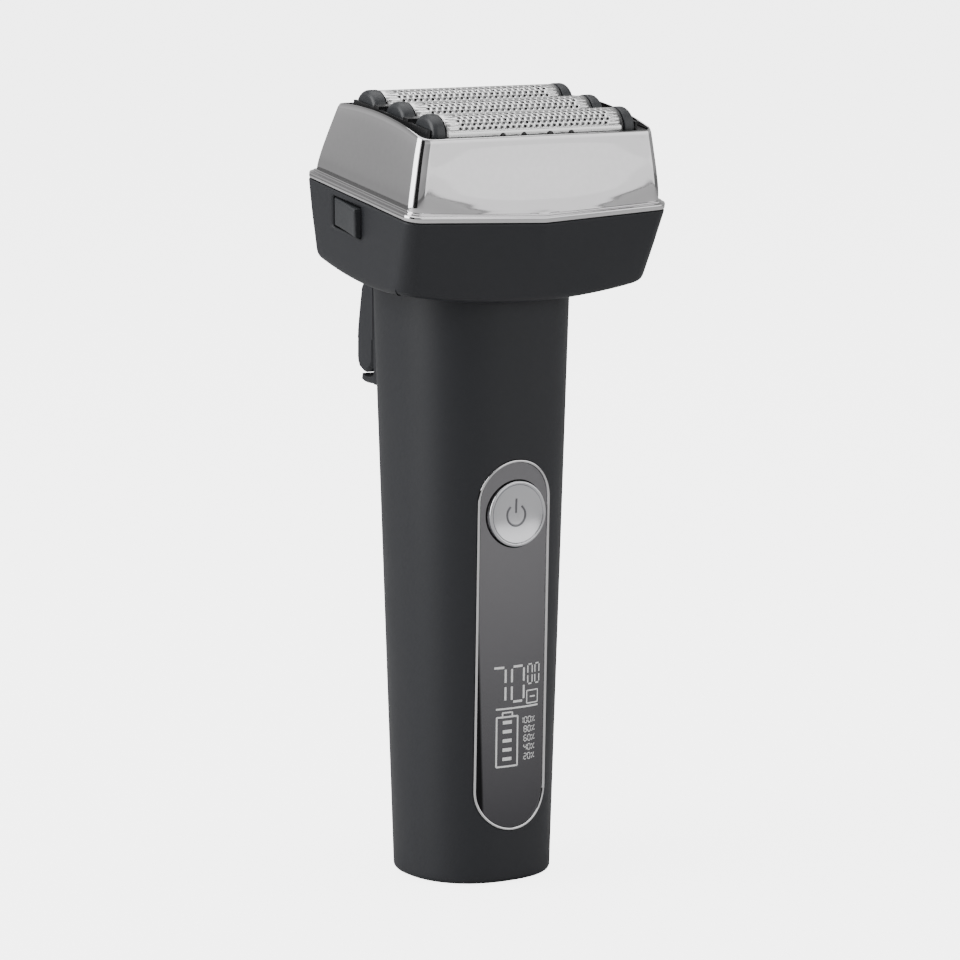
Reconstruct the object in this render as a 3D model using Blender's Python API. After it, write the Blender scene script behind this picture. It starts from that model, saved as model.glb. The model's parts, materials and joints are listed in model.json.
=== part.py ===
"""Three-foil electric shaver: a slim tapered handle with a display window, a motor and a cell inside,
a head that leans forward with a lift-off foil frame, three floating foils and their cutters on one
oscillating bridge, two release buttons, and a sideburn trimmer that flips out of the back.

All sizes are in millimetres and are turned into metres where a mesh is made. The part stands on +Z
with the display facing -Y. Head pieces are drawn in the head's own frame, which leans forward."""

import math

import bmesh
import bpy
from mathutils import Matrix, Vector

MM = 0.001
GAP = 0.3

# Handle
NECK_Z = 118.0
BASE_HALF = (15.4, 15.3)
NECK_HALF = (18.9, 17.8)
BASE_POWER = 2.3
NECK_POWER = 2.5
SLEEVE_WALL = 1.8
SLEEVE_FOOT = 0.3

# Window, panel and power button
WINDOW_HALF = 8.5
WINDOW_BOTTOM = 11.1
WINDOW_TOP = 86.9
BEZEL_WIDTH = 0.6
BUTTON_Z = 76.0
BUTTON_RADIUS = 6.65
BUTTON_STEM = 1.6
BUTTON_FACE_Y = -17.5

# Base
CAP_THICK = 2.2
PORT_Y = 6.5
PORT_HALF = (4.6, 1.6)
PORT_DEPTH = 6.4

# Cell, board and chassis
CELL_RADIUS = 9.0
CELL_POLE = 3.0
CELL_BOTTOM = 10.0
CELL_LENGTH = 50.0
CELL_Y = 2.4
CHASSIS_WALL = 1.2
CHASSIS_TOP = 84.0
BOARD_Y = -9.0
BOARD_THICK = 1.0

# Head frame
HEAD_PIVOT_Z = 132.0
HEAD_FORWARD = 5.1
HEAD_LEAN = math.radians(9.42)
SEAM_Z = 7.2
NECK_LOCAL_Z = -11.0
HEAD_WALL = 1.6
SEAM_OUTLINE = (30.5, 20.0, 21.2, 3.0, (1.4, 1.2), 1.0)
SEAM_INNER = (28.9, 18.4, 19.6, 2.2, (1.4, 1.2), 1.0)

# Motor and drive
MOTOR_RADIUS = 8.2
MOTOR_TOP = -15.5
MOTOR_LENGTH = 26.5
SHAFT_RADIUS = 1.0
ECCENTRIC = 1.0
PIN_RADIUS = 0.8
BRIDGE_BOTTOM = -7.9
BRIDGE_TOP = -3.6
STEM_RADIUS = 2.0
DECK_BOTTOM = 3.6
DECK_TOP = 5.2

# Foils and cutters
PITCH = 11.0
FOIL_HALF = 20.7
FOIL_RADIUS = 3.9
FOIL_CREST = 26.6
FOIL_THICK = 0.3
FOIL_FOOT = 20.2
CARRIER_RADIUS = 4.15
CARRIER_END = 23.7
CARRIER_FOOT = 18.6
CUTTER_HALF = 19.4
CUTTER_RADIUS = 3.2
CUTTER_FOOT = 17.0
BLADES = 11
FRAME_TOP = 23.1
RIM_RISE = 1.6
HOLDER_FOOT = 17.0

# Release buttons
RELEASE_FRONT = -1.6
RELEASE_REAR = 9.4
RELEASE_LOW = -0.2
RELEASE_HIGH = 6.3

# Trimmer
HINGE_Y = 22.4
HINGE_Z = 104.2
BARREL_RADIUS = 2.9
BARREL_SWELL = 0.8
EAR_RADIUS = 2.4
EAR_INNER = 5.2
EAR_OUTER = 7.4
PIN_HALF = 9.6
CHIN_OUTER = 5.3
CHIN_INNER = 4.1
TRIMMER_HALF = 11.5
CRADLE_BACK = 19.2
TRIMMER_BODY_LOW = 108.0
TRIMMER_BODY_HIGH = 119.4
TRIMMER_BACK = (
    (TRIMMER_BODY_LOW, 26.1),
    (111.0, 25.8),
    (115.0, 25.1),
    (118.4, 24.4),
    (TRIMMER_BODY_HIGH, 23.7),
)
TRIMMER_PIN_RADIUS = 1.0
TEETH = 9

FINISHES = {
    "soft_charcoal": ((0.035, 0.037, 0.042), 0.55, 0.0),
    "dark_plastic": ((0.045, 0.048, 0.052), 0.40, 0.0),
    "black_plastic": ((0.012, 0.012, 0.013), 0.45, 0.0),
    "chrome": ((0.78, 0.77, 0.76), 0.08, 1.0),
    "foil_steel": ((0.70, 0.70, 0.70), 0.25, 1.0),
    "steel": ((0.55, 0.55, 0.56), 0.30, 1.0),
    "smoked_panel": ((0.16, 0.15, 0.16), 0.12, 0.3),
    "satin_metal": ((0.55, 0.55, 0.57), 0.25, 1.0),
    "white_plastic": ((0.75, 0.75, 0.72), 0.45, 0.0),
    "board_green": ((0.02, 0.12, 0.06), 0.50, 0.0),
    "cell_wrap": ((0.05, 0.20, 0.45), 0.40, 0.0),
    "brass": ((0.65, 0.48, 0.20), 0.30, 1.0),
    "copper": ((0.60, 0.28, 0.14), 0.35, 1.0),
}


def clear_scene():
    for obj in list(bpy.data.objects):
        bpy.data.objects.remove(obj, do_unlink=True)


def finish(obj, finish_name):
    colour, roughness, metallic = FINISHES[finish_name]
    material = bpy.data.materials.new(obj.name + "_" + finish_name)
    material.use_nodes = True
    shader = material.node_tree.nodes["Principled BSDF"]
    shader.inputs["Base Color"].default_value = (*colour, 1.0)
    shader.inputs["Roughness"].default_value = roughness
    shader.inputs["Metallic"].default_value = metallic
    obj.data.materials.append(material)


def empty(name, location, lean=0.0):
    marker = bpy.data.objects.new(name, None)
    marker.location = Vector(location) * MM
    marker.rotation_euler = (lean, 0.0, 0.0)
    bpy.context.collection.objects.link(marker)
    return marker


def body(name, points, faces, finish_name=None, parent=None):
    """One object from points in millimetres. Without a finish it is a cutter, which isn't rendered."""
    mesh = bpy.data.meshes.new(name)
    mesh.from_pydata([Vector(point) * MM for point in points], [], faces)
    work = bmesh.new()
    work.from_mesh(mesh)
    bmesh.ops.recalc_face_normals(work, faces=work.faces)
    work.to_mesh(mesh)
    work.free()
    mesh.shade_smooth()
    mesh.set_sharp_from_angle(angle=math.radians(32))
    obj = bpy.data.objects.new(name, mesh)
    bpy.context.collection.objects.link(obj)
    obj.parent = parent
    if finish_name:
        finish(obj, finish_name)
    else:
        obj.hide_render = True
        obj.display_type = "WIRE"
    return obj


def loft(name, rings, finish_name=None, parent=None, tube=False):
    """Skins rings of equally many points. A tube joins its last ring to its first, else both are capped."""
    count = len(rings[0])
    points = [point for ring in rings for point in ring]
    faces = []
    for level in range(len(rings) if tube else len(rings) - 1):
        above = (level + 1) % len(rings)
        for step in range(count):
            after = (step + 1) % count
            faces.append(
                (level * count + step, level * count + after, above * count + after, above * count + step)
            )
    if not tube:
        faces.append(tuple(range(count)))
        faces.append(tuple(range((len(rings) - 1) * count, len(rings) * count)))
    return body(name, points, faces, finish_name, parent)


def boolean(target, tool, operation):
    modifier = target.modifiers.new(operation.title() + "_" + tool.name, "BOOLEAN")
    modifier.operation = operation
    modifier.solver = "EXACT"
    modifier.object = tool


def cut(target, tool):
    boolean(target, tool, "DIFFERENCE")


def bevel(obj, width, segments=1):
    modifier = obj.modifiers.new("Edge", "BEVEL")
    modifier.width = width * MM
    modifier.segments = segments
    modifier.limit_method = "ANGLE"
    modifier.angle_limit = math.radians(40)


def set_origin(obj, point):
    """Moves the object's origin to a point, in millimetres, while its shape stays where it is."""
    shift = Vector(point) * MM
    obj.data.transform(Matrix.Translation(-shift))
    obj.location = shift


def power_of(value, exponent):
    return math.copysign(abs(value) ** exponent, value)


def oval(half_x, half_y, power, z, centre_y=0.0, count=56):
    """A superellipse ring, where |x/half_x|^power + |y/half_y|^power = 1."""
    ring = []
    for step in range(count):
        angle = 2 * math.pi * step / count
        x = half_x * power_of(math.cos(angle), 2 / power)
        y = half_y * power_of(math.sin(angle), 2 / power)
        ring.append((x, centre_y + y, z))
    return ring


def box_ring(low_x, high_x, low_y, high_y, z):
    return [(low_x, low_y, z), (high_x, low_y, z), (high_x, high_y, z), (low_x, high_y, z)]


def box(name, low, high, finish_name=None, parent=None):
    rings = [box_ring(low[0], high[0], low[1], high[1], z) for z in (low[2], high[2])]
    return loft(name, rings, finish_name, parent)


def circle(radius, level, axis="Z", centre=(0.0, 0.0), count=24):
    """A round ring across an axis. The centre's two values are the other coordinates in X, Y, Z order."""
    ring = []
    for step in range(count):
        angle = 2 * math.pi * step / count
        first = centre[0] + radius * math.cos(angle)
        second = centre[1] + radius * math.sin(angle)
        if axis == "X":
            ring.append((level, first, second))
        elif axis == "Y":
            ring.append((first, level, second))
        else:
            ring.append((first, second, level))
    return ring


def turned(name, profile, finish_name=None, parent=None, axis="Z", centre=(0.0, 0.0), count=24, tube=False):
    """A turned piece from a profile of (radius, level) pairs."""
    rings = [circle(radius, level, axis, centre, count) for radius, level in profile]
    return loft(name, rings, finish_name, parent, tube)


def rod(name, radius, low, high, finish_name=None, parent=None, axis="Z", centre=(0.0, 0.0), count=16):
    return turned(name, [(radius, low), (radius, high)], finish_name, parent, axis, centre, count)


def stadium(name, half, low, high, near_y, far_y, steps=10):
    """A prism along Y whose outline is a rectangle with half-round ends."""
    rings = []
    for y in (near_y, far_y):
        ring = []
        for centre_z, start in ((high - half, 0.0), (low + half, math.pi)):
            for step in range(steps + 1):
                angle = start + math.pi * step / steps
                ring.append((half * math.cos(angle), y, centre_z + half * math.sin(angle)))
        rings.append(ring)
    return loft(name, rings)


# Handle pieces


def handle_ring(z, inset=0.0):
    """The handle's outline at a height. It grows evenly from the foot to the neck."""
    rise = z / NECK_Z
    half_x = BASE_HALF[0] + (NECK_HALF[0] - BASE_HALF[0]) * rise - inset
    half_y = BASE_HALF[1] + (NECK_HALF[1] - BASE_HALF[1]) * rise - inset
    return oval(half_x, half_y, BASE_POWER + (NECK_POWER - BASE_POWER) * rise, z)


def neck_height(y, local_z):
    """Height of the head frame's plane at local_z, over a point y of the part's own frame."""
    lift = local_z / math.cos(HEAD_LEAN)
    return HEAD_PIVOT_Z + lift + math.tan(HEAD_LEAN) * (y + HEAD_FORWARD)


def neck_ring(inset):
    ring = handle_ring(NECK_Z, inset)
    return [(x, y, neck_height(y, NECK_LOCAL_Z - GAP)) for x, y, z in ring]


def handle_shell(name, outer_inset, inner_inset, low, high, finish_name=None):
    outer = [handle_ring(low, outer_inset), handle_ring(high, outer_inset)]
    inner = [handle_ring(high, inner_inset), handle_ring(low, inner_inset)]
    return loft(name, outer + inner, finish_name, tube=True)


def make_sleeve():
    foot = [(SLEEVE_FOOT, 1.1), (SLEEVE_FOOT + 0.2, 0.5), (SLEEVE_FOOT + 0.7, 0.12), (SLEEVE_FOOT + 1.4, 0.0)]
    rings = [handle_ring(z, inset) for z, inset in foot]
    rings += [handle_ring(NECK_Z / 2), handle_ring(NECK_Z - 3.0), neck_ring(0.0)]
    rings += [neck_ring(SLEEVE_WALL), handle_ring(NECK_Z - 3.0, SLEEVE_WALL)]
    rings += [handle_ring(NECK_Z / 2, SLEEVE_WALL), handle_ring(SLEEVE_FOOT, SLEEVE_WALL)]
    sleeve = loft("handle_sleeve", rings, "soft_charcoal", tube=True)
    opening = stadium(
        "window_cutter", WINDOW_HALF + GAP, WINDOW_BOTTOM - GAP, WINDOW_TOP + GAP, -25.0, -8.0
    )
    cut(sleeve, opening)


def make_base_cap():
    inset = SLEEVE_WALL + GAP
    rings = [handle_ring(z, inset) for z in (0.0, CAP_THICK)]
    cap = loft("base_cap", rings, "soft_charcoal")
    cut(cap, loft("port_cutter", [port_ring(-1.0, GAP), port_ring(CAP_THICK + 1.0, GAP)]))


def port_ring(z, grow):
    """The charging inlet's outline: a flat slot with half-round ends."""
    radius = PORT_HALF[1] + grow
    reach = PORT_HALF[0] - PORT_HALF[1]
    ring = []
    for side, start in ((1, -0.5), (-1, 0.5)):
        for step in range(7):
            angle = math.pi * (start + step / 6)
            ring.append((side * reach + radius * math.cos(angle), PORT_Y + radius * math.sin(angle), z))
    return ring


def make_charge_port():
    wall = 0.35
    shell = loft("charge_port_shell", [port_ring(0.2, 0.0), port_ring(PORT_DEPTH, 0.0)], "steel")
    cut(shell, loft("port_hollow", [port_ring(-1.0, -wall), port_ring(PORT_DEPTH - 1.0, -wall)]))
    tongue_low = (-3.3, PORT_Y - 0.35, 1.0)
    tongue_high = (3.3, PORT_Y + 0.35, PORT_DEPTH - 1.0 - GAP)
    box("charge_port_tongue", tongue_low, tongue_high, "black_plastic")


def make_window():
    bezel = handle_shell("bezel_ring", -0.25, SLEEVE_WALL - 0.2, 5.0, 95.0, "chrome")
    outline = stadium("bezel_outline", WINDOW_HALF, WINDOW_BOTTOM, WINDOW_TOP, -25.0, -8.0)
    boolean(bezel, outline, "INTERSECT")
    inner = WINDOW_HALF - BEZEL_WIDTH
    low = WINDOW_BOTTOM + BEZEL_WIDTH
    high = WINDOW_TOP - BEZEL_WIDTH
    cut(bezel, stadium("bezel_opening", inner, low, high, -26.0, -7.0))
    panel = handle_shell("display_panel", 0.0, SLEEVE_WALL - 0.2, 4.0, 96.0, "smoked_panel")
    half = inner - GAP
    boolean(panel, stadium("panel_outline", half, low + GAP, high - GAP, -25.0, -8.0), "INTERSECT")
    hole = rod("button_hole", BUTTON_RADIUS + GAP, -26.0, -7.0, None, None, "Y", (0.0, BUTTON_Z), 36)
    cut(panel, hole)


def make_power_button():
    """A dished cap with a stem. It presses along +Y onto the switch."""
    face = BUTTON_FACE_Y
    back = face + 2.6
    profile = [(BUTTON_STEM, face + 4.5), (BUTTON_STEM, back), (BUTTON_RADIUS, back)]
    profile += [(BUTTON_RADIUS, face + 0.3), (BUTTON_RADIUS - 0.3, face), (BUTTON_RADIUS - 0.8, face + 0.1)]
    profile += [(4.0, face + 0.5), (1.8, face + 0.65)]
    button = turned("power_button", profile, "satin_metal", None, "Y", (0.0, BUTTON_Z), 36)
    set_origin(button, (0.0, face, BUTTON_Z))


def make_electronics():
    back = BOARD_Y - GAP
    box("display_module", (-6.6, -12.2, 16.0), (6.6, back, 63.0), "black_plastic")
    box("tact_switch", (-3.0, BUTTON_FACE_Y + 5.4, BUTTON_Z - 3.0), (3.0, back, BUTTON_Z + 3.0), "steel")
    box("main_board", (-10.0, BOARD_Y, 10.0), (10.0, BOARD_Y + BOARD_THICK, 82.0), "board_green")


def chassis_ring(z):
    """A channel outline: a half-round floor behind the cell and two straight sides up to the board."""
    ring = []
    inner = CELL_RADIUS + 0.4
    edge_y = BOARD_Y + BOARD_THICK + GAP
    steps = 12
    for radius, order in ((inner, range(steps + 1)), (inner + CHASSIS_WALL, range(steps, -1, -1))):
        arc = []
        for step in order:
            angle = math.pi * step / steps
            arc.append((radius * math.cos(angle), CELL_Y + radius * math.sin(angle), z))
        first = (math.copysign(radius, arc[0][0]), edge_y, z)
        last = (math.copysign(radius, arc[-1][0]), edge_y, z)
        ring += [first] + arc + [last]
    return ring


def make_cell_and_chassis():
    loft("chassis", [chassis_ring(CELL_BOTTOM - 1.0), chassis_ring(CHASSIS_TOP)], "white_plastic")
    top = CELL_BOTTOM + CELL_LENGTH
    shoulder = top - 0.8
    profile = [(CELL_RADIUS, CELL_BOTTOM), (CELL_RADIUS, top - 1.2), (CELL_RADIUS - 0.7, shoulder)]
    profile += [(CELL_POLE, shoulder), (CELL_POLE, top)]
    turned("battery_cell", profile, "cell_wrap", None, "Z", (0.0, CELL_Y), 32)
    box("cell_tab_top", (-2.5, CELL_Y - 8.0, top + GAP), (2.5, CELL_Y + 3.0, top + GAP + 0.4), "steel")


# Head pieces, drawn in the head's frame


def head_ring(z, half_x, front, rear, radius, prow=(0.0, 0.0), dip=0.0, sag=0.0, bow=0.0):
    """A rectangle ring with round corners. Its front and rear come out by prow at x=0, and it hangs lower
    by dip there and by sag at the middle of both sides. bow turns the straight-sided ridge into a bow."""
    steps = 4
    corners = (
        (half_x - radius, rear - radius, 0.0),
        (-half_x + radius, rear - radius, 0.5),
        (-half_x + radius, -front + radius, 1.0),
        (half_x - radius, -front + radius, 1.5),
    )
    flat = []
    for index, (x, y, turn) in enumerate(corners):
        for step in range(steps + 1):
            angle = math.pi * (turn + 0.5 * step / steps)
            flat.append((x + radius * math.cos(angle), y + radius * math.sin(angle)))
        after = corners[(index + 1) % 4]
        leave = flat[-1]
        angle = math.pi * after[2]
        arrive = (after[0] + radius * math.cos(angle), after[1] + radius * math.sin(angle))
        for part in (0.25, 0.5, 0.75):
            flat.append((leave[0] + (arrive[0] - leave[0]) * part, leave[1] + (arrive[1] - leave[1]) * part))
    ring = []
    for x, y in flat:
        share = abs(x) / half_x
        ridge = (1.0 - bow) * (1.0 - share) + bow * (1.0 - share**2)
        depth = rear if y > 0 else front
        side = max(0.0, 1.0 - (y / depth) ** 2)
        out = prow[1] if y > 0 else -prow[0]
        shift = out * ridge if abs(y) > 0.5 * depth else 0.0
        drop = dip * ridge * min(abs(y) / depth, 1.0) + sag * side * share
        ring.append((x, y + shift, z - drop))
    return ring


def neck_oval(like, inset, local_z):
    """The handle's neck outline in the head's frame, point by point in the directions of another ring."""
    centre = (HEAD_FORWARD + local_z * math.sin(HEAD_LEAN)) / math.cos(HEAD_LEAN)
    half_x = NECK_HALF[0] - inset
    half_y = (NECK_HALF[1] - inset) / math.cos(HEAD_LEAN)
    ring = []
    for x, y, z in like:
        dx = x / half_x
        dy = (y - centre) / half_y
        reach = (abs(dx) ** NECK_POWER + abs(dy) ** NECK_POWER) ** (-1 / NECK_POWER)
        ring.append((dx * reach * half_x, centre + dy * reach * half_y, local_z))
    return ring


def make_head_base(head):
    outer = [
        head_ring(-8.1, 27.0, 15.3, 17.6, 3.2, (1.2, 3.9), 2.5, 1.5, 1.0),
        head_ring(-7.7, 28.4, 16.5, 18.1, 3.3, (1.3, 3.6), 2.5, 1.5, 1.0),
        head_ring(-6.4, 29.2, 17.2, 18.4, 3.3, (1.4, 3.4), 2.4, 1.3, 1.0),
        head_ring(0.0, 29.8, 18.5, 19.8, 3.1, (1.4, 2.3), 1.6, 0.2, 0.5),
        head_ring(SEAM_Z, *SEAM_OUTLINE),
    ]
    inner = [
        head_ring(SEAM_Z, *SEAM_INNER),
        head_ring(0.0, 28.2, 16.9, 18.1, 2.2, (1.4, 2.3), 1.4, 0.2, 0.5),
        head_ring(-6.4, 26.8, 15.2, 16.6, 2.4, (1.2, 3.2), 1.5, 0.8, 1.0),
    ]
    rings = [neck_oval(outer[0], 0.0, NECK_LOCAL_Z)] + outer + inner
    rings.append(neck_oval(inner[-1], SLEEVE_WALL, NECK_LOCAL_Z + HEAD_WALL))
    base = loft("head_base", rings, "soft_charcoal", head)
    for index, (x, y) in enumerate(screw_places()):
        boss = rod("boss_tool_%d" % index, 2.3, -8.4, DECK_BOTTOM - GAP, None, head, "Z", (x, y), 16)
        boolean(base, boss, "UNION")
        hole = rod("boss_hole_%d" % index, 1.3, -2.0, DECK_TOP, None, head, "Z", (x, y), 12)
        cut(base, hole)
    for side in (-1, 1):
        x_low, x_high = sorted((side * 14.6, side * 17.4))
        block = box("guide_block_%d" % (side + 1), (x_low, -8.2, -9.8), (x_high, 8.2, -4.0), None, head)
        boolean(base, block, "UNION")
        x_low, x_high = sorted((side * 25.0, side * 34.0))
        slot = box(
            "release_slot_%d" % (side + 1),
            (x_low, RELEASE_FRONT, RELEASE_LOW),
            (x_high, RELEASE_REAR, RELEASE_HIGH),
            None,
            head,
        )
        cut(base, slot)
    cut(base, rod("cam_hole", 3.4, -14.0, -8.0, None, head, "Z", (0.0, 0.0), 20))
    for index, y in enumerate(rod_places()):
        bore = rod("guide_bore_%d" % index, 1.2, -20.0, 20.0, None, head, "X", (y, -5.8), 12)
        cut(base, bore)


def screw_places():
    return [(x, y) for x in (-23.0, 23.0) for y in (-11.0, 11.5)]


def rod_places():
    return (-6.2, 6.2)


def make_release_buttons(head):
    """Wedges that stand proud at their front ends and run flush with the wall behind."""
    front = RELEASE_FRONT + GAP
    rear = RELEASE_REAR - GAP
    low = RELEASE_LOW + GAP
    high = RELEASE_HIGH - 0.9
    for side, name in ((-1, "left"), (1, "right")):
        back = side * 28.5
        rings = [
            [(back, front, low), (side * 31.3, front, low), (side * 29.9, rear, low), (back, rear, low)],
            [(back, front, high), (side * 32.1, front, high), (side * 30.5, rear, high), (back, rear, high)],
        ]
        button = loft("release_button_" + name, rings, "dark_plastic", head)
        bevel(button, 0.3)


def make_drive(head):
    low = MOTOR_TOP - MOTOR_LENGTH
    can = [(MOTOR_RADIUS, low), (MOTOR_RADIUS, MOTOR_TOP), (1.4, MOTOR_TOP), (1.4, MOTOR_TOP - 1.0)]
    can += [(MOTOR_RADIUS - 1.0, MOTOR_TOP - 1.0), (MOTOR_RADIUS - 1.0, low)]
    turned("motor_can", can, "steel", head, tube=True)
    turned("motor_end_bell", [(7.6, low - 3.8), (7.6, low - GAP)], "white_plastic", head)
    magnet = [(6.9, low + 3.0), (6.9, MOTOR_TOP - 3.0), (6.1, MOTOR_TOP - 3.0), (6.1, low + 3.0)]
    turned("motor_magnet", magnet, "black_plastic", head, tube=True)
    core_low = low + 4.0
    core_high = MOTOR_TOP - 4.0
    shaft_top = MOTOR_TOP + 3.6
    rotor = [(SHAFT_RADIUS, low + 1.0), (SHAFT_RADIUS, core_low), (5.6, core_low), (5.6, core_high)]
    rotor += [(SHAFT_RADIUS, core_high), (SHAFT_RADIUS, shaft_top)]
    turned("motor_rotor", rotor, "copper", head)
    make_motor_mount(head)
    make_cam(head, shaft_top + GAP)
    make_bridge(head)
    for y, name in zip(rod_places(), ("front", "rear")):
        rod("guide_rod_" + name, 0.9, -17.2, 17.2, "steel", head, "X", (y, -5.8), 12)


def make_motor_mount(head):
    level = MOTOR_TOP + GAP
    centre = (HEAD_FORWARD + level * math.sin(HEAD_LEAN)) / math.cos(HEAD_LEAN)
    rings = [oval(16.3, 15.2, NECK_POWER, z, centre, 32) for z in (level, level + 1.7)]
    plate = loft("motor_mount", rings, "white_plastic", head)
    cut(plate, rod("mount_hole", 3.4, level - 1.0, level + 3.0, None, head))


def make_cam(head, level):
    """A hub on the shaft's end with a pin that stands off its axis. Both are one turned and joined piece."""
    top = BRIDGE_TOP - 1.4
    hub = rod("eccentric_cam", 2.6, level, level + 2.2, "brass", head, "Z", (0.0, 0.0), 20)
    pin = rod("cam_pin", PIN_RADIUS, level + 1.0, top, None, head, "Z", (ECCENTRIC, 0.0), 12)
    boolean(hub, pin, "UNION")


def make_bridge(head):
    rings = [head_ring(z, 9.0, 13.4, 13.4, 3.0) for z in (BRIDGE_BOTTOM, BRIDGE_TOP)]
    bridge = loft("drive_bridge", rings, "white_plastic", head)
    for index, y in enumerate(foil_places()):
        profile = [(STEM_RADIUS, BRIDGE_TOP - 1.0), (STEM_RADIUS, 9.5), (1.0, 9.5), (1.0, 15.2)]
        stem = turned("stem_tool_%d" % index, profile, None, head, "Z", (0.0, y), 16)
        boolean(bridge, stem, "UNION")
    pocket = box("cam_pocket", (-3.1, -2.1, BRIDGE_BOTTOM - 1.0), (3.1, 2.1, BRIDGE_TOP - 1.1), None, head)
    cut(bridge, pocket)
    for index, y in enumerate(rod_places()):
        bore = rod("bridge_bore_%d" % index, 1.2, -12.0, 12.0, None, head, "X", (y, -5.8), 12)
        cut(bridge, bore)


def foil_places():
    return (-PITCH, 0.0, PITCH)


def make_deck(head):
    rings = [head_ring(z, 27.3, 17.2, 18.4, 2.4) for z in (DECK_BOTTOM, DECK_TOP)]
    deck = loft("head_deck", rings, "dark_plastic", head)
    for index, y in enumerate(foil_places()):
        tool = box("stem_slot_%d" % index, (-3.5, y - 2.4, 2.0), (3.5, y + 2.4, 7.0), None, head)
        cut(deck, tool)
    for index, (x, y) in enumerate(screw_places()):
        cut(deck, rod("deck_hole_%d" % index, 1.3, 2.0, 7.0, None, head, "Z", (x, y), 12))
        profile = [(0.95, -1.5), (0.95, DECK_TOP + GAP), (1.9, DECK_TOP + GAP), (1.9, DECK_TOP + 1.3)]
        turned("deck_screw_%d" % (index + 1), profile, "steel", head, "Z", (x, y), 12)


def arch(x, y, radius, crest, foot, steps=12):
    """Points over an arch from its front foot to its rear foot, on a cut across X."""
    centre = crest - radius
    points = [(x, y - radius, foot)]
    for step in range(steps + 1):
        angle = math.pi - math.pi * step / steps
        points.append((x, y + radius * math.cos(angle), centre + radius * math.sin(angle)))
    points.append((x, y + radius, foot))
    return points


def make_foil(head, name, y):
    rings = []
    for x in (-FOIL_HALF, FOIL_HALF):
        outer = arch(x, y, FOIL_RADIUS, FOIL_CREST, FOIL_FOOT)
        inner = arch(x, y, FOIL_RADIUS - FOIL_THICK, FOIL_CREST - FOIL_THICK, FOIL_FOOT)
        rings.append(outer + inner[::-1])
    loft("foil_" + name, rings, "foil_steel", head)


def make_carrier(head, name, y):
    """Two D-shaped end caps joined by a rail under each long edge of the foil."""
    near = FOIL_HALF + GAP
    crest = FOIL_CREST + 0.2
    caps = []
    for side in (-1, 1):
        rings = [
            arch(side * near, y, CARRIER_RADIUS, crest, CARRIER_FOOT, 10),
            arch(side * (CARRIER_END - 0.9), y, CARRIER_RADIUS, crest, CARRIER_FOOT, 10),
            arch(side * (CARRIER_END - 0.25), y, CARRIER_RADIUS - 0.35, crest - 0.35, CARRIER_FOOT, 10),
            arch(side * CARRIER_END, y, CARRIER_RADIUS - 1.1, crest - 1.1, CARRIER_FOOT, 10),
        ]
        last = side > 0
        node = "foil_carrier_" + name if last else "cap_tool_" + name
        caps.append(loft(node, rings, "dark_plastic" if last else None, head))
    carrier = caps[1]
    boolean(carrier, caps[0], "UNION")
    for side in (-1, 1):
        low_y, high_y = sorted((y + side * (CUTTER_RADIUS + GAP), y + side * CARRIER_RADIUS))
        low = (-near - 1.0, low_y, CARRIER_FOOT + 0.1)
        high = (near + 1.0, high_y, FOIL_FOOT - GAP)
        rail = box("rail_tool_%s_%d" % (name, side + 1), low, high, None, head)
        boolean(carrier, rail, "UNION")


def make_cutter(head, name, y):
    """Blades on a bar: one loft along X whose section steps between a tall and a low arch."""
    crest = CUTTER_RADIUS + FOIL_CREST - FOIL_RADIUS
    pitch = 2 * CUTTER_HALF / (BLADES - 0.5)
    rings = []
    for blade in range(BLADES):
        start = -CUTTER_HALF + blade * pitch
        for x in (start, start + pitch / 2):
            rings.append(arch(x, y, CUTTER_RADIUS, crest, CUTTER_FOOT, 6))
        if blade < BLADES - 1:
            for x in (start + pitch / 2, start + pitch):
                rings.append(arch(x, y, CUTTER_RADIUS - 0.8, crest - 1.6, CUTTER_FOOT, 6))
    loft("cutter_" + name, rings, "steel", head)


def make_cutter_spring(head, name, y):
    """A coil round the stem's thin end: a small square wire carried along a helix."""
    turns = 4
    steps = 10
    low = 9.5 + GAP + 0.3
    high = CUTTER_FOOT - GAP - 0.3
    wire = 0.22
    rings = []
    for step in range(turns * steps + 1):
        angle = 2 * math.pi * step / steps
        z = low + (high - low) * step / (turns * steps)
        ring = []
        for out, up in ((wire, 0), (0, wire), (-wire, 0), (0, -wire)):
            reach = 1.65 + out
            ring.append((reach * math.cos(angle), y + reach * math.sin(angle), z + up))
        rings.append(ring)
    loft("cutter_spring_" + name, rings, "steel", head)


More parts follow.
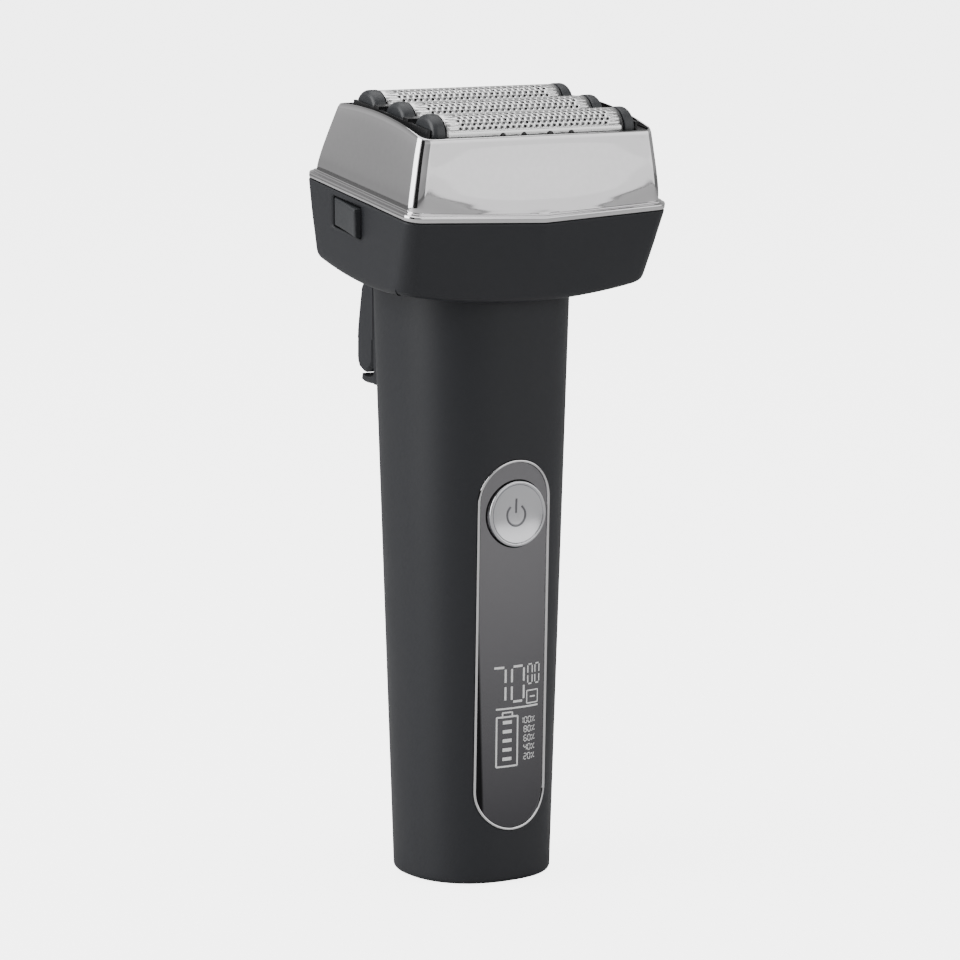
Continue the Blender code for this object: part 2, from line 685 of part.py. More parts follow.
def make_foil_frame(head):
    outer = [
        head_ring(SEAM_Z + GAP, *SEAM_OUTLINE),
        head_ring(SEAM_Z + 1.5, *SEAM_OUTLINE),
        head_ring(SEAM_Z + 1.7, 29.4, 18.9, 20.1, 2.6, (1.4, 1.2), 1.0),
        head_ring(12.4, 29.1, 18.6, 19.6, 2.6, (1.0, 0.9), 0.6, 0.0, 1.0),
        head_ring(15.5, 28.6, 18.1, 18.9, 2.6, (0.6, 0.5), 0.3, 0.0, 1.0),
        head_ring(19.2, 28.0, 17.5, 18.1, 2.6, (0.2, 0.2), 0.1, -0.8, 1.0),
        head_ring(21.7, 27.5, 17.1, 17.4, 2.5, sag=-1.3),
        head_ring(22.8, 27.1, 16.8, 17.0, 2.4, sag=-RIM_RISE),
        head_ring(FRAME_TOP, 26.9, 16.6, 16.8, 2.3, sag=-RIM_RISE),
    ]
    inner = [
        head_ring(FRAME_TOP, 26.6, 16.4, 16.5, 2.0, sag=-RIM_RISE),
        head_ring(21.7, 26.7, 16.4, 16.6, 2.0, sag=-1.3),
        head_ring(19.2, 27.0, 16.5, 17.0, 2.0, sag=-0.8),
        head_ring(12.4, 27.9, 17.2, 18.2, 2.0, (0.8, 0.7), 0.4, 0.0, 1.0),
        head_ring(SEAM_Z + GAP, *SEAM_INNER),
    ]
    loft("foil_frame", outer + inner, "chrome", head, tube=True)


def make_foil_holder(head):
    """The black tray inside the frame: three slots for the foils, ribs between, and raised ends."""
    rings = [head_ring(z, 26.3, 16.1, 16.2, 1.8) for z in (HOLDER_FOOT, FRAME_TOP - 0.2)]
    holder = loft("foil_holder", rings, "black_plastic", head)
    slot_half = CARRIER_RADIUS + GAP
    for side in (-1, 1):
        low_x, high_x = sorted((side * 20.0, side * 24.6))
        block = box(
            "end_tool_%d" % (side + 1), (low_x, -14.0, 20.0), (high_x, 14.0, 24.3), None, head
        )
        boolean(holder, block, "UNION")
        for y in (-PITCH / 2, PITCH / 2):
            low_x, high_x = sorted((side * 21.6, side * 24.5))
            low, high = (low_x, y - 0.9, 22.0), (high_x, y + 0.9, 24.9)
            post = box("post_tool_%d_%d" % (side + 1, y > 0), low, high, None, head)
            boolean(holder, post, "UNION")
    for index, y in enumerate(foil_places()):
        low = (-CARRIER_END - GAP, y - slot_half, HOLDER_FOOT - 1.0)
        high = (CARRIER_END + GAP, y + slot_half, FRAME_TOP + 4.0)
        slot = box("foil_slot_%d" % index, low, high, None, head)
        bevel(slot, 1.3, 3)
        cut(holder, slot)


# Trimmer pieces, on the back of the handle


def ear_outline(x):
    """A lug's side: a bar from the cradle, with a round end about the hinge."""
    points = [(x, CRADLE_BACK - 1.0, HINGE_Z - EAR_RADIUS)]
    for degrees in range(-90, 91, 30):
        angle = math.radians(degrees)
        points.append((x, HINGE_Y + EAR_RADIUS * math.cos(angle), HINGE_Z + EAR_RADIUS * math.sin(angle)))
    points.append((x, CRADLE_BACK - 1.0, HINGE_Z + EAR_RADIUS))
    return points


def chin_outline(x):
    """The ledge under the housing's barrel: a crescent whose inner side clears the barrel as it turns."""
    points = [(x, CRADLE_BACK - 1.0, HINGE_Z - CHIN_OUTER)]
    arcs = ((CHIN_OUTER, (-90, -75, -62)), (CHIN_INNER, (-58, -70, -85, -100, -115, -130, -143)))
    for radius, angles in arcs:
        for degrees in angles:
            angle = math.radians(degrees)
            points.append((x, HINGE_Y + radius * math.cos(angle), HINGE_Z + radius * math.sin(angle)))
    points.append((x, CRADLE_BACK - 1.0, HINGE_Z - 2.4))
    return points


def make_cradle():
    low = (-TRIMMER_HALF, 8.0, HINGE_Z - CHIN_OUTER)
    high = (TRIMMER_HALF, CRADLE_BACK, TRIMMER_BODY_HIGH)
    cradle = box("trimmer_cradle", low, high, "soft_charcoal")
    chin_ends = (0.6 - TRIMMER_HALF, TRIMMER_HALF - 0.6)
    boolean(cradle, loft("chin_tool", [chin_outline(x) for x in chin_ends]), "UNION")
    core_rings = [handle_ring(z, -GAP) for z in (90.0, 130.0)]
    cut(cradle, loft("cradle_core", core_rings))
    for side in (-1, 1):
        rings = [ear_outline(side * EAR_INNER), ear_outline(side * EAR_OUTER)]
        boolean(cradle, loft("ear_tool_%d" % (side + 1), rings), "UNION")
    bore = rod("cradle_bore", TRIMMER_PIN_RADIUS + GAP, -15.0, 15.0, None, None, "X", (HINGE_Y, HINGE_Z), 16)
    cut(cradle, bore)


def trimmer_ring(z, outer_y, half_x=TRIMMER_HALF, radius=0.9):
    """A section of the trimmer's body: square at the cradle side, round at the two outer corners."""
    inner_y = CRADLE_BACK + GAP
    ring = [(-half_x, inner_y, z), (half_x, inner_y, z)]
    for centre_x, start in ((half_x - radius, 0.0), (-half_x + radius, 0.5)):
        for step in range(5):
            angle = math.pi * (start + 0.5 * step / 4)
            corner_y = outer_y - radius
            ring.append((centre_x + radius * math.cos(angle), corner_y + radius * math.sin(angle), z))
    return ring


def barrel_ring(x, inset):
    """The housing's lower end: flat at the cradle side, round below the hinge and fuller towards the rear."""
    near = CRADLE_BACK + GAP + inset
    top = TRIMMER_BODY_LOW + 2.0
    ring = [(x, near, top), (x, near, HINGE_Z)]
    for degrees in range(200, 361, 20):
        swell = min(max((degrees - 250) / 70, 0.0), 1.0)
        radius = BARREL_RADIUS + BARREL_SWELL * swell - inset
        angle = math.radians(degrees)
        ring.append((x, HINGE_Y + radius * math.cos(angle), HINGE_Z + radius * math.sin(angle)))
    ring.append((x, TRIMMER_BACK[0][1] - inset - 0.1, top))
    return ring


def make_trimmer_housing(pivot):
    housing = loft("trimmer_housing", [trimmer_ring(z, y) for z, y in TRIMMER_BACK], "soft_charcoal")
    ends = ((-TRIMMER_HALF, 0.7), (0.7 - TRIMMER_HALF, 0.0), (TRIMMER_HALF - 0.7, 0.0), (TRIMMER_HALF, 0.7))
    boolean(housing, loft("barrel_tool", [barrel_ring(x, inset) for x, inset in ends]), "UNION")
    for side in (-1, 1):
        low_x, high_x = sorted((side * (EAR_INNER - GAP), side * (EAR_OUTER + GAP)))
        low = (low_x, HINGE_Y - 5.0, HINGE_Z - 6.0)
        high = (high_x, HINGE_Y + EAR_RADIUS + GAP, HINGE_Z + EAR_RADIUS + 1.2)
        cut(housing, box("ear_slot_%d" % (side + 1), low, high))
    reach = PIN_HALF + GAP
    hinge = (HINGE_Y, HINGE_Z)
    bore = rod("barrel_bore", TRIMMER_PIN_RADIUS + GAP, -reach, reach, None, None, "X", hinge, 16)
    cut(housing, bore)
    cut(housing, box("blade_pocket", (-10.4, 20.2, 112.8), (10.4, 22.2, 125.0)))
    attach(housing, pivot)


def comb(name, half, near_y, far_y, low, root, tip, finish_name):
    """A toothed plate: a straight bar whose upper edge carries evenly spaced teeth."""
    pitch = 2 * half / (TEETH * 2 - 1)
    outline = [(-half, low), (half, low)]
    for tooth in range(TEETH):
        right = half - 2 * pitch * tooth
        left = right - pitch
        outline += [(right, root), (right, tip), (left, tip), (left, root)]
    rings = [[(x, y, z) for x, z in outline] for y in (near_y, far_y)]
    return loft(name, rings, finish_name)


def attach(obj, pivot):
    """Puts an object drawn in place under an empty, with its origin on the empty's own."""
    set_origin(obj, Vector(pivot.location) / MM)
    obj.location = (0.0, 0.0, 0.0)
    obj.parent = pivot


def make_trimmer(pivot):
    make_cradle()
    make_trimmer_housing(pivot)
    attach(comb("trimmer_comb", 10.0, 20.5, 21.0, 113.2, 119.8, 121.6, "steel"), pivot)
    attach(comb("trimmer_cutter", 8.8, 21.3, 21.8, 113.6, 119.6, 121.3, "steel"), pivot)
    rod("trimmer_pin", TRIMMER_PIN_RADIUS, -PIN_HALF, PIN_HALF, "steel", None, "X", (HINGE_Y, HINGE_Z), 16)


def main():
    clear_scene()
    make_sleeve()
    make_base_cap()
    make_charge_port()
    make_window()
    make_power_button()
    make_electronics()
    make_cell_and_chassis()
    head = empty("head_frame", (0.0, -HEAD_FORWARD, HEAD_PIVOT_Z), HEAD_LEAN)
    make_head_base(head)
    make_release_buttons(head)
    make_drive(head)
    make_deck(head)
    for y, name in zip(foil_places(), ("front", "middle", "rear")):
        make_foil(head, name, y)
        make_carrier(head, name, y)
        make_cutter(head, name, y)
        make_cutter_spring(head, name, y)
    make_foil_frame(head)
    make_foil_holder(head)
    make_trimmer(empty("trimmer_pivot", (0.0, HINGE_Y, HINGE_Z)))


main()
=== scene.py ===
# %% [markdown]
# # A three-foil electric shaver
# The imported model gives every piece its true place. This lesson puts a finely curved surface and a
# worked-out finish on each piece that can be seen, and leaves every size as it was.

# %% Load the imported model
import json
import math

import bmesh
import bpy
import numpy as np
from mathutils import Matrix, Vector


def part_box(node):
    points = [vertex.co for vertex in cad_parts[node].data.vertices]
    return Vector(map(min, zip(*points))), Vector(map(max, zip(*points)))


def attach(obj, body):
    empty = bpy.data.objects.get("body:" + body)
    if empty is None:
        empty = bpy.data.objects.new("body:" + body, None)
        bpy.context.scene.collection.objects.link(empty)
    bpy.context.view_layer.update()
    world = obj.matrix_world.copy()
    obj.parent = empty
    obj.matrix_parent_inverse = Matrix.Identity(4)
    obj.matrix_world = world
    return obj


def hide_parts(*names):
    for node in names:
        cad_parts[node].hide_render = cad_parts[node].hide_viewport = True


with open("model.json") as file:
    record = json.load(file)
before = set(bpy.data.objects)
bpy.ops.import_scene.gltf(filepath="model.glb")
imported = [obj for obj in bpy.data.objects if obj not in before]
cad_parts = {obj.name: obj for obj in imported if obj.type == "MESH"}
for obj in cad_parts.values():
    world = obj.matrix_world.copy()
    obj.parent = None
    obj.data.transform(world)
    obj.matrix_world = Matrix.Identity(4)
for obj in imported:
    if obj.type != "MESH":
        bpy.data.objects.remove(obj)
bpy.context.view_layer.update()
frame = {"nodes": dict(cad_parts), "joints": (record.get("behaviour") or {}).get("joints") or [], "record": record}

MM = 0.001
NODES = frame["nodes"]
JOINTS = {joint["name"]: joint for joint in frame["joints"]}

# %% [markdown]
# ## Camera
# A product shot uses a long lens from some way off, so that upright edges stay nearly parallel. The
# camera looks at the middle of the shaver from its front left, a little above it. A small shift
# frames it without turning the camera.

# %% Camera
CAMERA_AZIMUTH = math.radians(-32.506)
CAMERA_HEIGHT = math.radians(8.583)
CAMERA_DISTANCE = 0.870
CAMERA_TARGET = Vector((0.0, 0.0, 0.080))
SENSOR_WIDTH, FOCAL_LENGTH = 36.0, 160.8
FRAME_SHIFT = (0.00896, 0.00333)


def aim(obj, place, target):
    """Puts a camera or a lamp at a place, turned so that it looks at the target."""
    obj.location = place
    obj.rotation_euler = (Vector(target) - Vector(place)).to_track_quat("-Z", "Y").to_euler()
    bpy.context.scene.collection.objects.link(obj)


lens = bpy.data.cameras.new("camera")
lens.sensor_width, lens.lens = SENSOR_WIDTH, FOCAL_LENGTH
lens.shift_x, lens.shift_y = FRAME_SHIFT
camera = bpy.data.objects.new("camera", lens)
back = Vector((
    math.sin(CAMERA_AZIMUTH) * math.cos(CAMERA_HEIGHT),
    -math.cos(CAMERA_AZIMUTH) * math.cos(CAMERA_HEIGHT),
    math.sin(CAMERA_HEIGHT),
))
aim(camera, CAMERA_TARGET + back * CAMERA_DISTANCE, CAMERA_TARGET)
bpy.context.scene.camera = camera

# %% [markdown]
# ## Surfaces from arrays
# A skin is a grid of points worked out by a formula. Several grids that share an edge are laid down
# together, their doubled points are merged, and the faces are turned outwards. This keeps curved
# plastic and chrome free of the flat facets that would break up a reflection.


# %% Grids, patches and pieces
def grid_faces(rows, columns, close_rows=False, close_columns=False):
    """Quads between neighbours of a grid of points; a closed direction also joins its last to its first."""
    row = np.arange(rows if close_rows else rows - 1)[:, None]
    column = np.arange(columns if close_columns else columns - 1)[None, :]
    below = (row + 1) % rows
    right = (column + 1) % columns
    here, under = row * columns, below * columns
    corners = (here + column, here + right, under + right, under + column)
    return np.stack(np.broadcast_arrays(*corners), axis=-1).reshape(-1, 4)


def patch(points, close_rows=False, close_columns=False, keep=None):
    """A grid of points in millimetres with its quads. keep is a mask over the quads that are made."""
    points = np.asarray(points, float)
    faces = grid_faces(points.shape[0], points.shape[1], close_rows, close_columns)
    if keep is not None:
        faces = faces[keep.ravel()]
    return points.reshape(-1, 3), faces


def build(name, patches, material, smooth_under=35.0, merge=0.002, inside=None):
    """One object from patches. inside is a point that every face of an open skin looks away from."""
    starts = np.cumsum([0] + [len(points) for points, _ in patches])
    points = np.concatenate([points for points, _ in patches])
    faces = np.concatenate([faces + start for (_, faces), start in zip(patches, starts)])
    mesh = bpy.data.meshes.new(name)
    mesh.from_pydata((points * MM).tolist(), [], faces.tolist())
    work = bmesh.new()
    work.from_mesh(mesh)
    bmesh.ops.remove_doubles(work, verts=work.verts, dist=merge * MM)
    bmesh.ops.dissolve_degenerate(work, edges=work.edges, dist=merge * MM / 4)
    bmesh.ops.recalc_face_normals(work, faces=work.faces)
    if inside is not None:
        centre = Vector(inside) * MM
        outward = (face.normal.dot(face.calc_center_median() - centre) * face.calc_area() for face in work.faces)
        if sum(outward) < 0:
            bmesh.ops.reverse_faces(work, faces=work.faces)
    work.to_mesh(mesh)
    work.free()
    mesh.shade_smooth()
    mesh.set_sharp_from_angle(angle=math.radians(smooth_under))
    piece = bpy.data.objects.new(name, mesh)
    bpy.context.scene.collection.objects.link(piece)
    mesh.materials.append(material)
    return piece


def install(piece, body, finish, *nodes):
    """Rides a piece on its body and hides the nodes that it stands for. finish is not used."""
    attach(piece, body)
    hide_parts(*nodes)
    print(piece.name, len(piece.data.polygons), "faces")
    return piece


def thicken(piece, wall):
    """Gives an open skin a wall, grown inwards so that its outer face stays where it is."""
    modifier = piece.modifiers.new("Wall", "SOLIDIFY")
    modifier.thickness = wall * MM
    modifier.offset = -1.0


def through(keys, per_span):
    """A Catmull-Rom curve through the rows of keys: between two rows it leaves each one in the direction of
    the line that joins that row's two neighbours. Every key row is met exactly."""
    keys = np.asarray(keys, float)
    padded = np.vstack([2 * keys[0] - keys[1], keys, 2 * keys[-1] - keys[-2]])
    place = np.linspace(0, len(keys) - 1, per_span * (len(keys) - 1) + 1)
    span = np.minimum(place.astype(int), len(keys) - 2)
    part = (place - span)[:, None]
    before, start, end, after = (padded[span + step] for step in range(4))
    linear = end - before
    square = 2 * before - 5 * start + 4 * end - after
    cube = 3 * start - 3 * end + after - before
    return 0.5 * (2 * start + linear * part + square * part**2 + cube * part**3)


# %% [markdown]
# ## The head's own frame
# The head leans forward, so its pieces are drawn upright in a frame of their own. The direction that
# the foil frame lifts in, and the motor's axis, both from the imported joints, say where that frame is.

# %% Head frame
HEAD_UP = np.array(JOINTS["foil_frame_lift"]["axis"], float)
HEAD_ORIGIN = np.array(JOINTS["motor_spin"]["pos_m"], float) / MM
HEAD_REAR = np.cross(HEAD_UP, (1.0, 0.0, 0.0))
HEAD_TILT = math.atan2(-HEAD_UP[1], HEAD_UP[2])


def in_part(points):
    """Points of the head's frame, in millimetres, as points of the whole part."""
    x, y, z = np.moveaxis(np.asarray(points, float), -1, 0)
    return HEAD_ORIGIN + x[..., None] * (1.0, 0.0, 0.0) + y[..., None] * HEAD_REAR + z[..., None] * HEAD_UP


def head_patch(points, *arguments, **names):
    return patch(in_part(points), *arguments, **names)


print("head leans", round(math.degrees(HEAD_TILT), 2), "degrees")

# %% [markdown]
# ## Finishes
# Two effects are shared. `fine_grain` is the tiny unevenness of a moulded or painted skin: it bends
# the normal and gives a mask. `handled` is the slow change of gloss where hands have been. Each is a
# node group with its own values in each material; the shader itself stays in the material.


# %% Shared node groups
def new_group(name, inputs, outputs):
    """A shader node group with named sockets, and its two end nodes."""
    group = bpy.data.node_groups.new(name, "ShaderNodeTree")
    for socket, kind, value in inputs:
        made = group.interface.new_socket(name=socket, in_out="INPUT", socket_type=kind)
        made.default_value = value
    for socket, kind in outputs:
        group.interface.new_socket(name=socket, in_out="OUTPUT", socket_type=kind)
    return group, group.nodes.new("NodeGroupInput"), group.nodes.new("NodeGroupOutput")


def link(tree, start, end):
    tree.links.new(start, end)


def make_grain():
    group, given, result = new_group(
        "fine_grain",
        [("Scale", "NodeSocketFloat", 4000.0), ("Depth", "NodeSocketFloat", 0.1)],
        [("Normal", "NodeSocketVector"), ("Mask", "NodeSocketFloat")],
    )
    place = group.nodes.new("ShaderNodeTexCoord")
    noise = group.nodes.new("ShaderNodeTexNoise")
    bump = group.nodes.new("ShaderNodeBump")
    noise.inputs["Detail"].default_value = 3.0
    bump.inputs["Distance"].default_value = 0.00005
    link(group, place.outputs["Object"], noise.inputs["Vector"])
    link(group, given.outputs["Scale"], noise.inputs["Scale"])
    link(group, given.outputs["Depth"], bump.inputs["Strength"])
    link(group, noise.outputs["Fac"], bump.inputs["Height"])
    link(group, bump.outputs["Normal"], result.inputs["Normal"])
    link(group, noise.outputs["Fac"], result.inputs["Mask"])
    return group


def make_handled():
    group, given, result = new_group(
        "handled",
        [(name, "NodeSocketFloat", value) for name, value in (("Scale", 60.0), ("Low", 0.4), ("High", 0.6))],
        [("Roughness", "NodeSocketFloat")],
    )
    place = group.nodes.new("ShaderNodeTexCoord")
    noise = group.nodes.new("ShaderNodeTexNoise")
    spread = group.nodes.new("ShaderNodeMapRange")
    noise.inputs["Detail"].default_value = 4.0
    noise.inputs["Roughness"].default_value = 0.6
    spread.inputs["From Min"].default_value = 0.3
    spread.inputs["From Max"].default_value = 0.7
    link(group, place.outputs["Object"], noise.inputs["Vector"])
    link(group, given.outputs["Scale"], noise.inputs["Scale"])
    link(group, noise.outputs["Fac"], spread.inputs["Value"])
    link(group, given.outputs["Low"], spread.inputs["To Min"])
    link(group, given.outputs["High"], spread.inputs["To Max"])
    link(group, spread.outputs["Result"], result.inputs["Roughness"])
    return group


GRAIN = make_grain()
HANDLED = make_handled()


# %% A material from its finish
def finish(name, dark, light, gloss, grain=(4000.0, 0.1), metallic=0.0, blotch=60.0, **constants):
    """A Principled material. Its colour runs from dark to light with the grain, its roughness between the two
    values of gloss with handling. constants are sockets that are the same all over."""
    material = bpy.data.materials.new(name)
    material.use_nodes = True
    tree = material.node_tree
    shader = tree.nodes["Principled BSDF"]
    fine = tree.nodes.new("ShaderNodeGroup")
    fine.node_tree = GRAIN
    fine.inputs["Scale"].default_value, fine.inputs["Depth"].default_value = grain
    touched = tree.nodes.new("ShaderNodeGroup")
    touched.node_tree = HANDLED
    touched.inputs["Scale"].default_value = blotch
    touched.inputs["Low"].default_value, touched.inputs["High"].default_value = gloss
    blend = tree.nodes.new("ShaderNodeMix")
    blend.data_type = "RGBA"
    blend.inputs["A"].default_value = (*dark, 1.0)
    blend.inputs["B"].default_value = (*light, 1.0)
    link(tree, fine.outputs["Mask"], blend.inputs["Factor"])
    link(tree, blend.outputs["Result"], shader.inputs["Base Color"])
    link(tree, touched.outputs["Roughness"], shader.inputs["Roughness"])
    link(tree, fine.outputs["Normal"], shader.inputs["Normal"])
    shader.inputs["Metallic"].default_value = metallic
    for socket, value in constants.items():
        shader.inputs[socket.replace("_", " ")].default_value = value
    return material


SOFT_TOUCH = finish("soft_touch_charcoal", (0.017, 0.018, 0.021), (0.024, 0.025, 0.029), (0.44, 0.52),
                    (5200.0, 0.25), Specular_IOR_Level=0.32)
DARK_PLASTIC = finish("dark_plastic", (0.020, 0.022, 0.025), (0.032, 0.034, 0.038), (0.34, 0.44),
                      (4200.0, 0.35))
BLACK_PLASTIC = finish("black_plastic", (0.008, 0.008, 0.009), (0.013, 0.013, 0.014), (0.30, 0.42),
                       (3800.0, 0.2))
CHROME = finish("chrome", (0.74, 0.73, 0.74), (0.80, 0.79, 0.80), (0.035, 0.075), (900.0, 0.02), 1.0, 90.0)
SATIN = finish("satin_metal", (0.60, 0.60, 0.62), (0.68, 0.68, 0.70), (0.20, 0.27), (6000.0, 0.08), 1.0)
DARK_METAL = finish("standby_mark", (0.16, 0.16, 0.17), (0.22, 0.22, 0.23), (0.25, 0.32), (6000.0, 0.08), 1.0)
FOIL_STEEL = finish("foil_steel", (0.86, 0.86, 0.86), (0.93, 0.93, 0.93), (0.16, 0.24), (5000.0, 0.1), 1.0)
STEEL = finish("steel", (0.30, 0.30, 0.31), (0.40, 0.40, 0.41), (0.25, 0.38), (3000.0, 0.15), 1.0)
PANEL = finish("smoked_panel", (0.085, 0.083, 0.090), (0.25, 0.245, 0.255), (0.13, 0.17), (1500.0, 0.01), 0.9)
FIGURES = finish("display_figures", (0.80, 0.80, 0.80), (0.90, 0.90, 0.90), (0.45, 0.55))
ACETAL = finish("white_plastic", (0.66, 0.65, 0.61), (0.76, 0.75, 0.71), (0.35, 0.45), (2600.0, 0.15))
BOARD = finish("circuit_board", (0.012, 0.085, 0.040), (0.020, 0.120, 0.055), (0.30, 0.45), (2200.0, 0.2))
CELL_WRAP = finish("cell_wrap", (0.030, 0.140, 0.330), (0.040, 0.170, 0.390), (0.28, 0.38), (1800.0, 0.1))
COPPER = finish("copper_winding", (0.50, 0.22, 0.10), (0.66, 0.32, 0.16), (0.30, 0.45), (2600.0, 0.4), 1.0)
BRASS = finish("brass", (0.58, 0.42, 0.16), (0.70, 0.53, 0.24), (0.25, 0.35), (2400.0, 0.15), 1.0)
MAGNET = finish("magnet", (0.020, 0.020, 0.021), (0.035, 0.035, 0.036), (0.50, 0.62), (2600.0, 0.4))

# %% [markdown]
# ## The panel's painted reflection
# The window is smoked, and a reflection is painted over that into its colour: clearest at its head, darker
# towards its foot, and edged in black on the left. A bright room would draw much of this as a real
# reflection; painted into the material, it comes steadily, in every light, from the height and the width alone.

# %% Panel's painted reflection
# Painted reflection: the panel's colour darkens towards its foot and has a black edge on the left.
REFLECTION_FADE_LOW, REFLECTION_FADE_HIGH = 0.012, 0.072
DARK_REFLECTION_EDGE = (-0.0066, -0.0062)
DARK_REFLECTION_LEAN = 0.0022
DARK_REFLECTION_BLACK = (0.012, 0.012, 0.013, 1.0)


def paint_panel_reflection(tree):
    """The painted reflection clears evenly from REFLECTION_FADE_LOW up to REFLECTION_FADE_HIGH. Its black edge,
    also painted reflection, ends where x plus DARK_REFLECTION_LEAN times the share of that climb passes
    DARK_REFLECTION_EDGE, so it is widest at the foot and has run out at the head."""
    blend = tree.nodes["Mix"]
    place, split = tree.nodes.new("ShaderNodeTexCoord"), tree.nodes.new("ShaderNodeSeparateXYZ")
    climb, edge = tree.nodes.new("ShaderNodeMapRange"), tree.nodes.new("ShaderNodeMapRange")
    lean, dark_reflection = tree.nodes.new("ShaderNodeMath"), tree.nodes.new("ShaderNodeMix")
    for node, (low, high) in ((climb, (REFLECTION_FADE_LOW, REFLECTION_FADE_HIGH)), (edge, DARK_REFLECTION_EDGE)):
        node.inputs["From Min"].default_value, node.inputs["From Max"].default_value = low, high
    lean.operation = "MULTIPLY_ADD"
    lean.inputs[1].default_value = DARK_REFLECTION_LEAN
    dark_reflection.data_type = "RGBA"
    dark_reflection.inputs["A"].default_value = DARK_REFLECTION_BLACK
    link(tree, place.outputs["Object"], split.inputs["Vector"])
    link(tree, split.outputs["Z"], climb.inputs["Value"])
    link(tree, climb.outputs["Result"], lean.inputs[0])
    link(tree, split.outputs["X"], lean.inputs[2])
    link(tree, lean.outputs["Value"], edge.inputs["Value"])
    link(tree, climb.outputs["Result"], blend.inputs["Factor"])
    link(tree, edge.outputs["Result"], dark_reflection.inputs["Factor"])
    link(tree, blend.outputs["Result"], dark_reflection.inputs["B"])
    link(tree, dark_reflection.outputs["Result"], tree.nodes["Principled BSDF"].inputs["Base Color"])


# Paints the reflection, darker low down and black along the left edge, into the panel's colour.
paint_panel_reflection(PANEL.node_tree)
print(len(bpy.data.materials), "materials")

# %% [markdown]
# ## The handle
# The handle's cross-section is a superellipse, a rounded shape between an ellipse and a rectangle,
# that grows evenly from the foot to the neck. Its skin is laid out in two directions, the angle round
# the handle and the height, with a true hole for the display window: four patches join the window's
# outline to the edges of a sheet that wraps the handle, and bands finish the foot and the neck.

# %% Handle section
NECK_Z = 118.0
FOOT_HALF = np.array((15.4, 15.3))
NECK_HALF = np.array((18.9, 17.8))
FOOT_POWER, NECK_POWER = 2.3, 2.5
NECK_LOCAL = -11.0
WALL = 1.8


def section(z):
    """Half-width, half-depth and power of the handle's section at a height; they change evenly with it."""
    rise = np.asarray(z, float) / NECK_Z
    half_x = FOOT_HALF[0] + (NECK_HALF[0] - FOOT_HALF[0]) * rise
    half_y = FOOT_HALF[1] + (NECK_HALF[1] - FOOT_HALF[1]) * rise
    return half_x, half_y, FOOT_POWER + (NECK_POWER - FOOT_POWER) * rise


def skin(theta, z, inset=0.0):
    """The point of the handle's skin at angle theta from the front: its distance from the axis is
    (|sin/half_x|^p + |cos/half_y|^p)^(-1/p), with both halves made smaller by inset."""
    theta, z, inset = np.broadcast_arrays(np.asarray(theta, float), np.asarray(z, float), inset)
    half_x, half_y, power = section(z)
    across = np.abs(np.sin(theta) / (half_x - inset)) ** power
    along = np.abs(np.cos(theta) / (half_y - inset)) ** power
    reach = (across + along) ** (-1.0 / power)
    return np.stack([reach * np.sin(theta), -reach * np.cos(theta), z], axis=-1)


def angle_at(x, z):
    """The angle theta at which the front of the skin has this x."""
    half_x, half_y, power = section(z)
    depth = half_y * np.maximum(1.0 - np.abs(x / half_x) ** power, 0.0) ** (1.0 / power)
    return np.arctan2(x, depth)


def neck_height(y, local_z):
    """Height, at a point y of the part, of the head's level local_z."""
    return HEAD_ORIGIN[2] + local_z / math.cos(HEAD_TILT) + math.tan(HEAD_TILT) * (y - HEAD_ORIGIN[1])


# %% Window outline
WINDOW_HALF, WINDOW_LOW, WINDOW_HIGH = 8.5, 11.1, 86.9


def stadium(grow, arc_count, side_count):
    """A stadium's outline as four runs of (x, z): the lower arc from left to right, the right side going up,
    the upper arc from right to left, and the left side going down."""
    half = WINDOW_HALF + grow
    low, high = WINDOW_LOW + WINDOW_HALF, WINDOW_HIGH - WINDOW_HALF
    turn = np.linspace(math.pi, 2 * math.pi, arc_count)
    lower = np.stack([half * np.cos(turn), low + half * np.sin(turn)], axis=-1)
    upper = np.stack([half * np.cos(turn - math.pi), high + half * np.sin(turn - math.pi)], axis=-1)
    climb = np.linspace(low, high, side_count)
    right = np.stack([np.full(side_count, half), climb], axis=-1)
    left = np.stack([np.full(side_count, -half), climb[::-1]], axis=-1)
    return lower, right, upper, left


def on_sheet(run):
    """A run of (x, z) as (angle, z)."""
    return np.stack([angle_at(run[:, 0], run[:, 1]), run[:, 1]], axis=-1)


def between(start, end, count, ease=1.0):
    """Rows that go evenly from one run of points to another; ease above 1 crowds them at the start."""
    part = np.linspace(0, 1, count)[:, None, None] ** ease
    return start[None] * (1 - part) + end[None] * part


# %% Sleeve
AROUND, UP_SIDE, OUTWARD = 97, 61, 49
SHEET_LOW, SHEET_HIGH = 6.0, 95.0
FOOT_FILLET = 1.1
SLEEVE_FOOT = 0.3


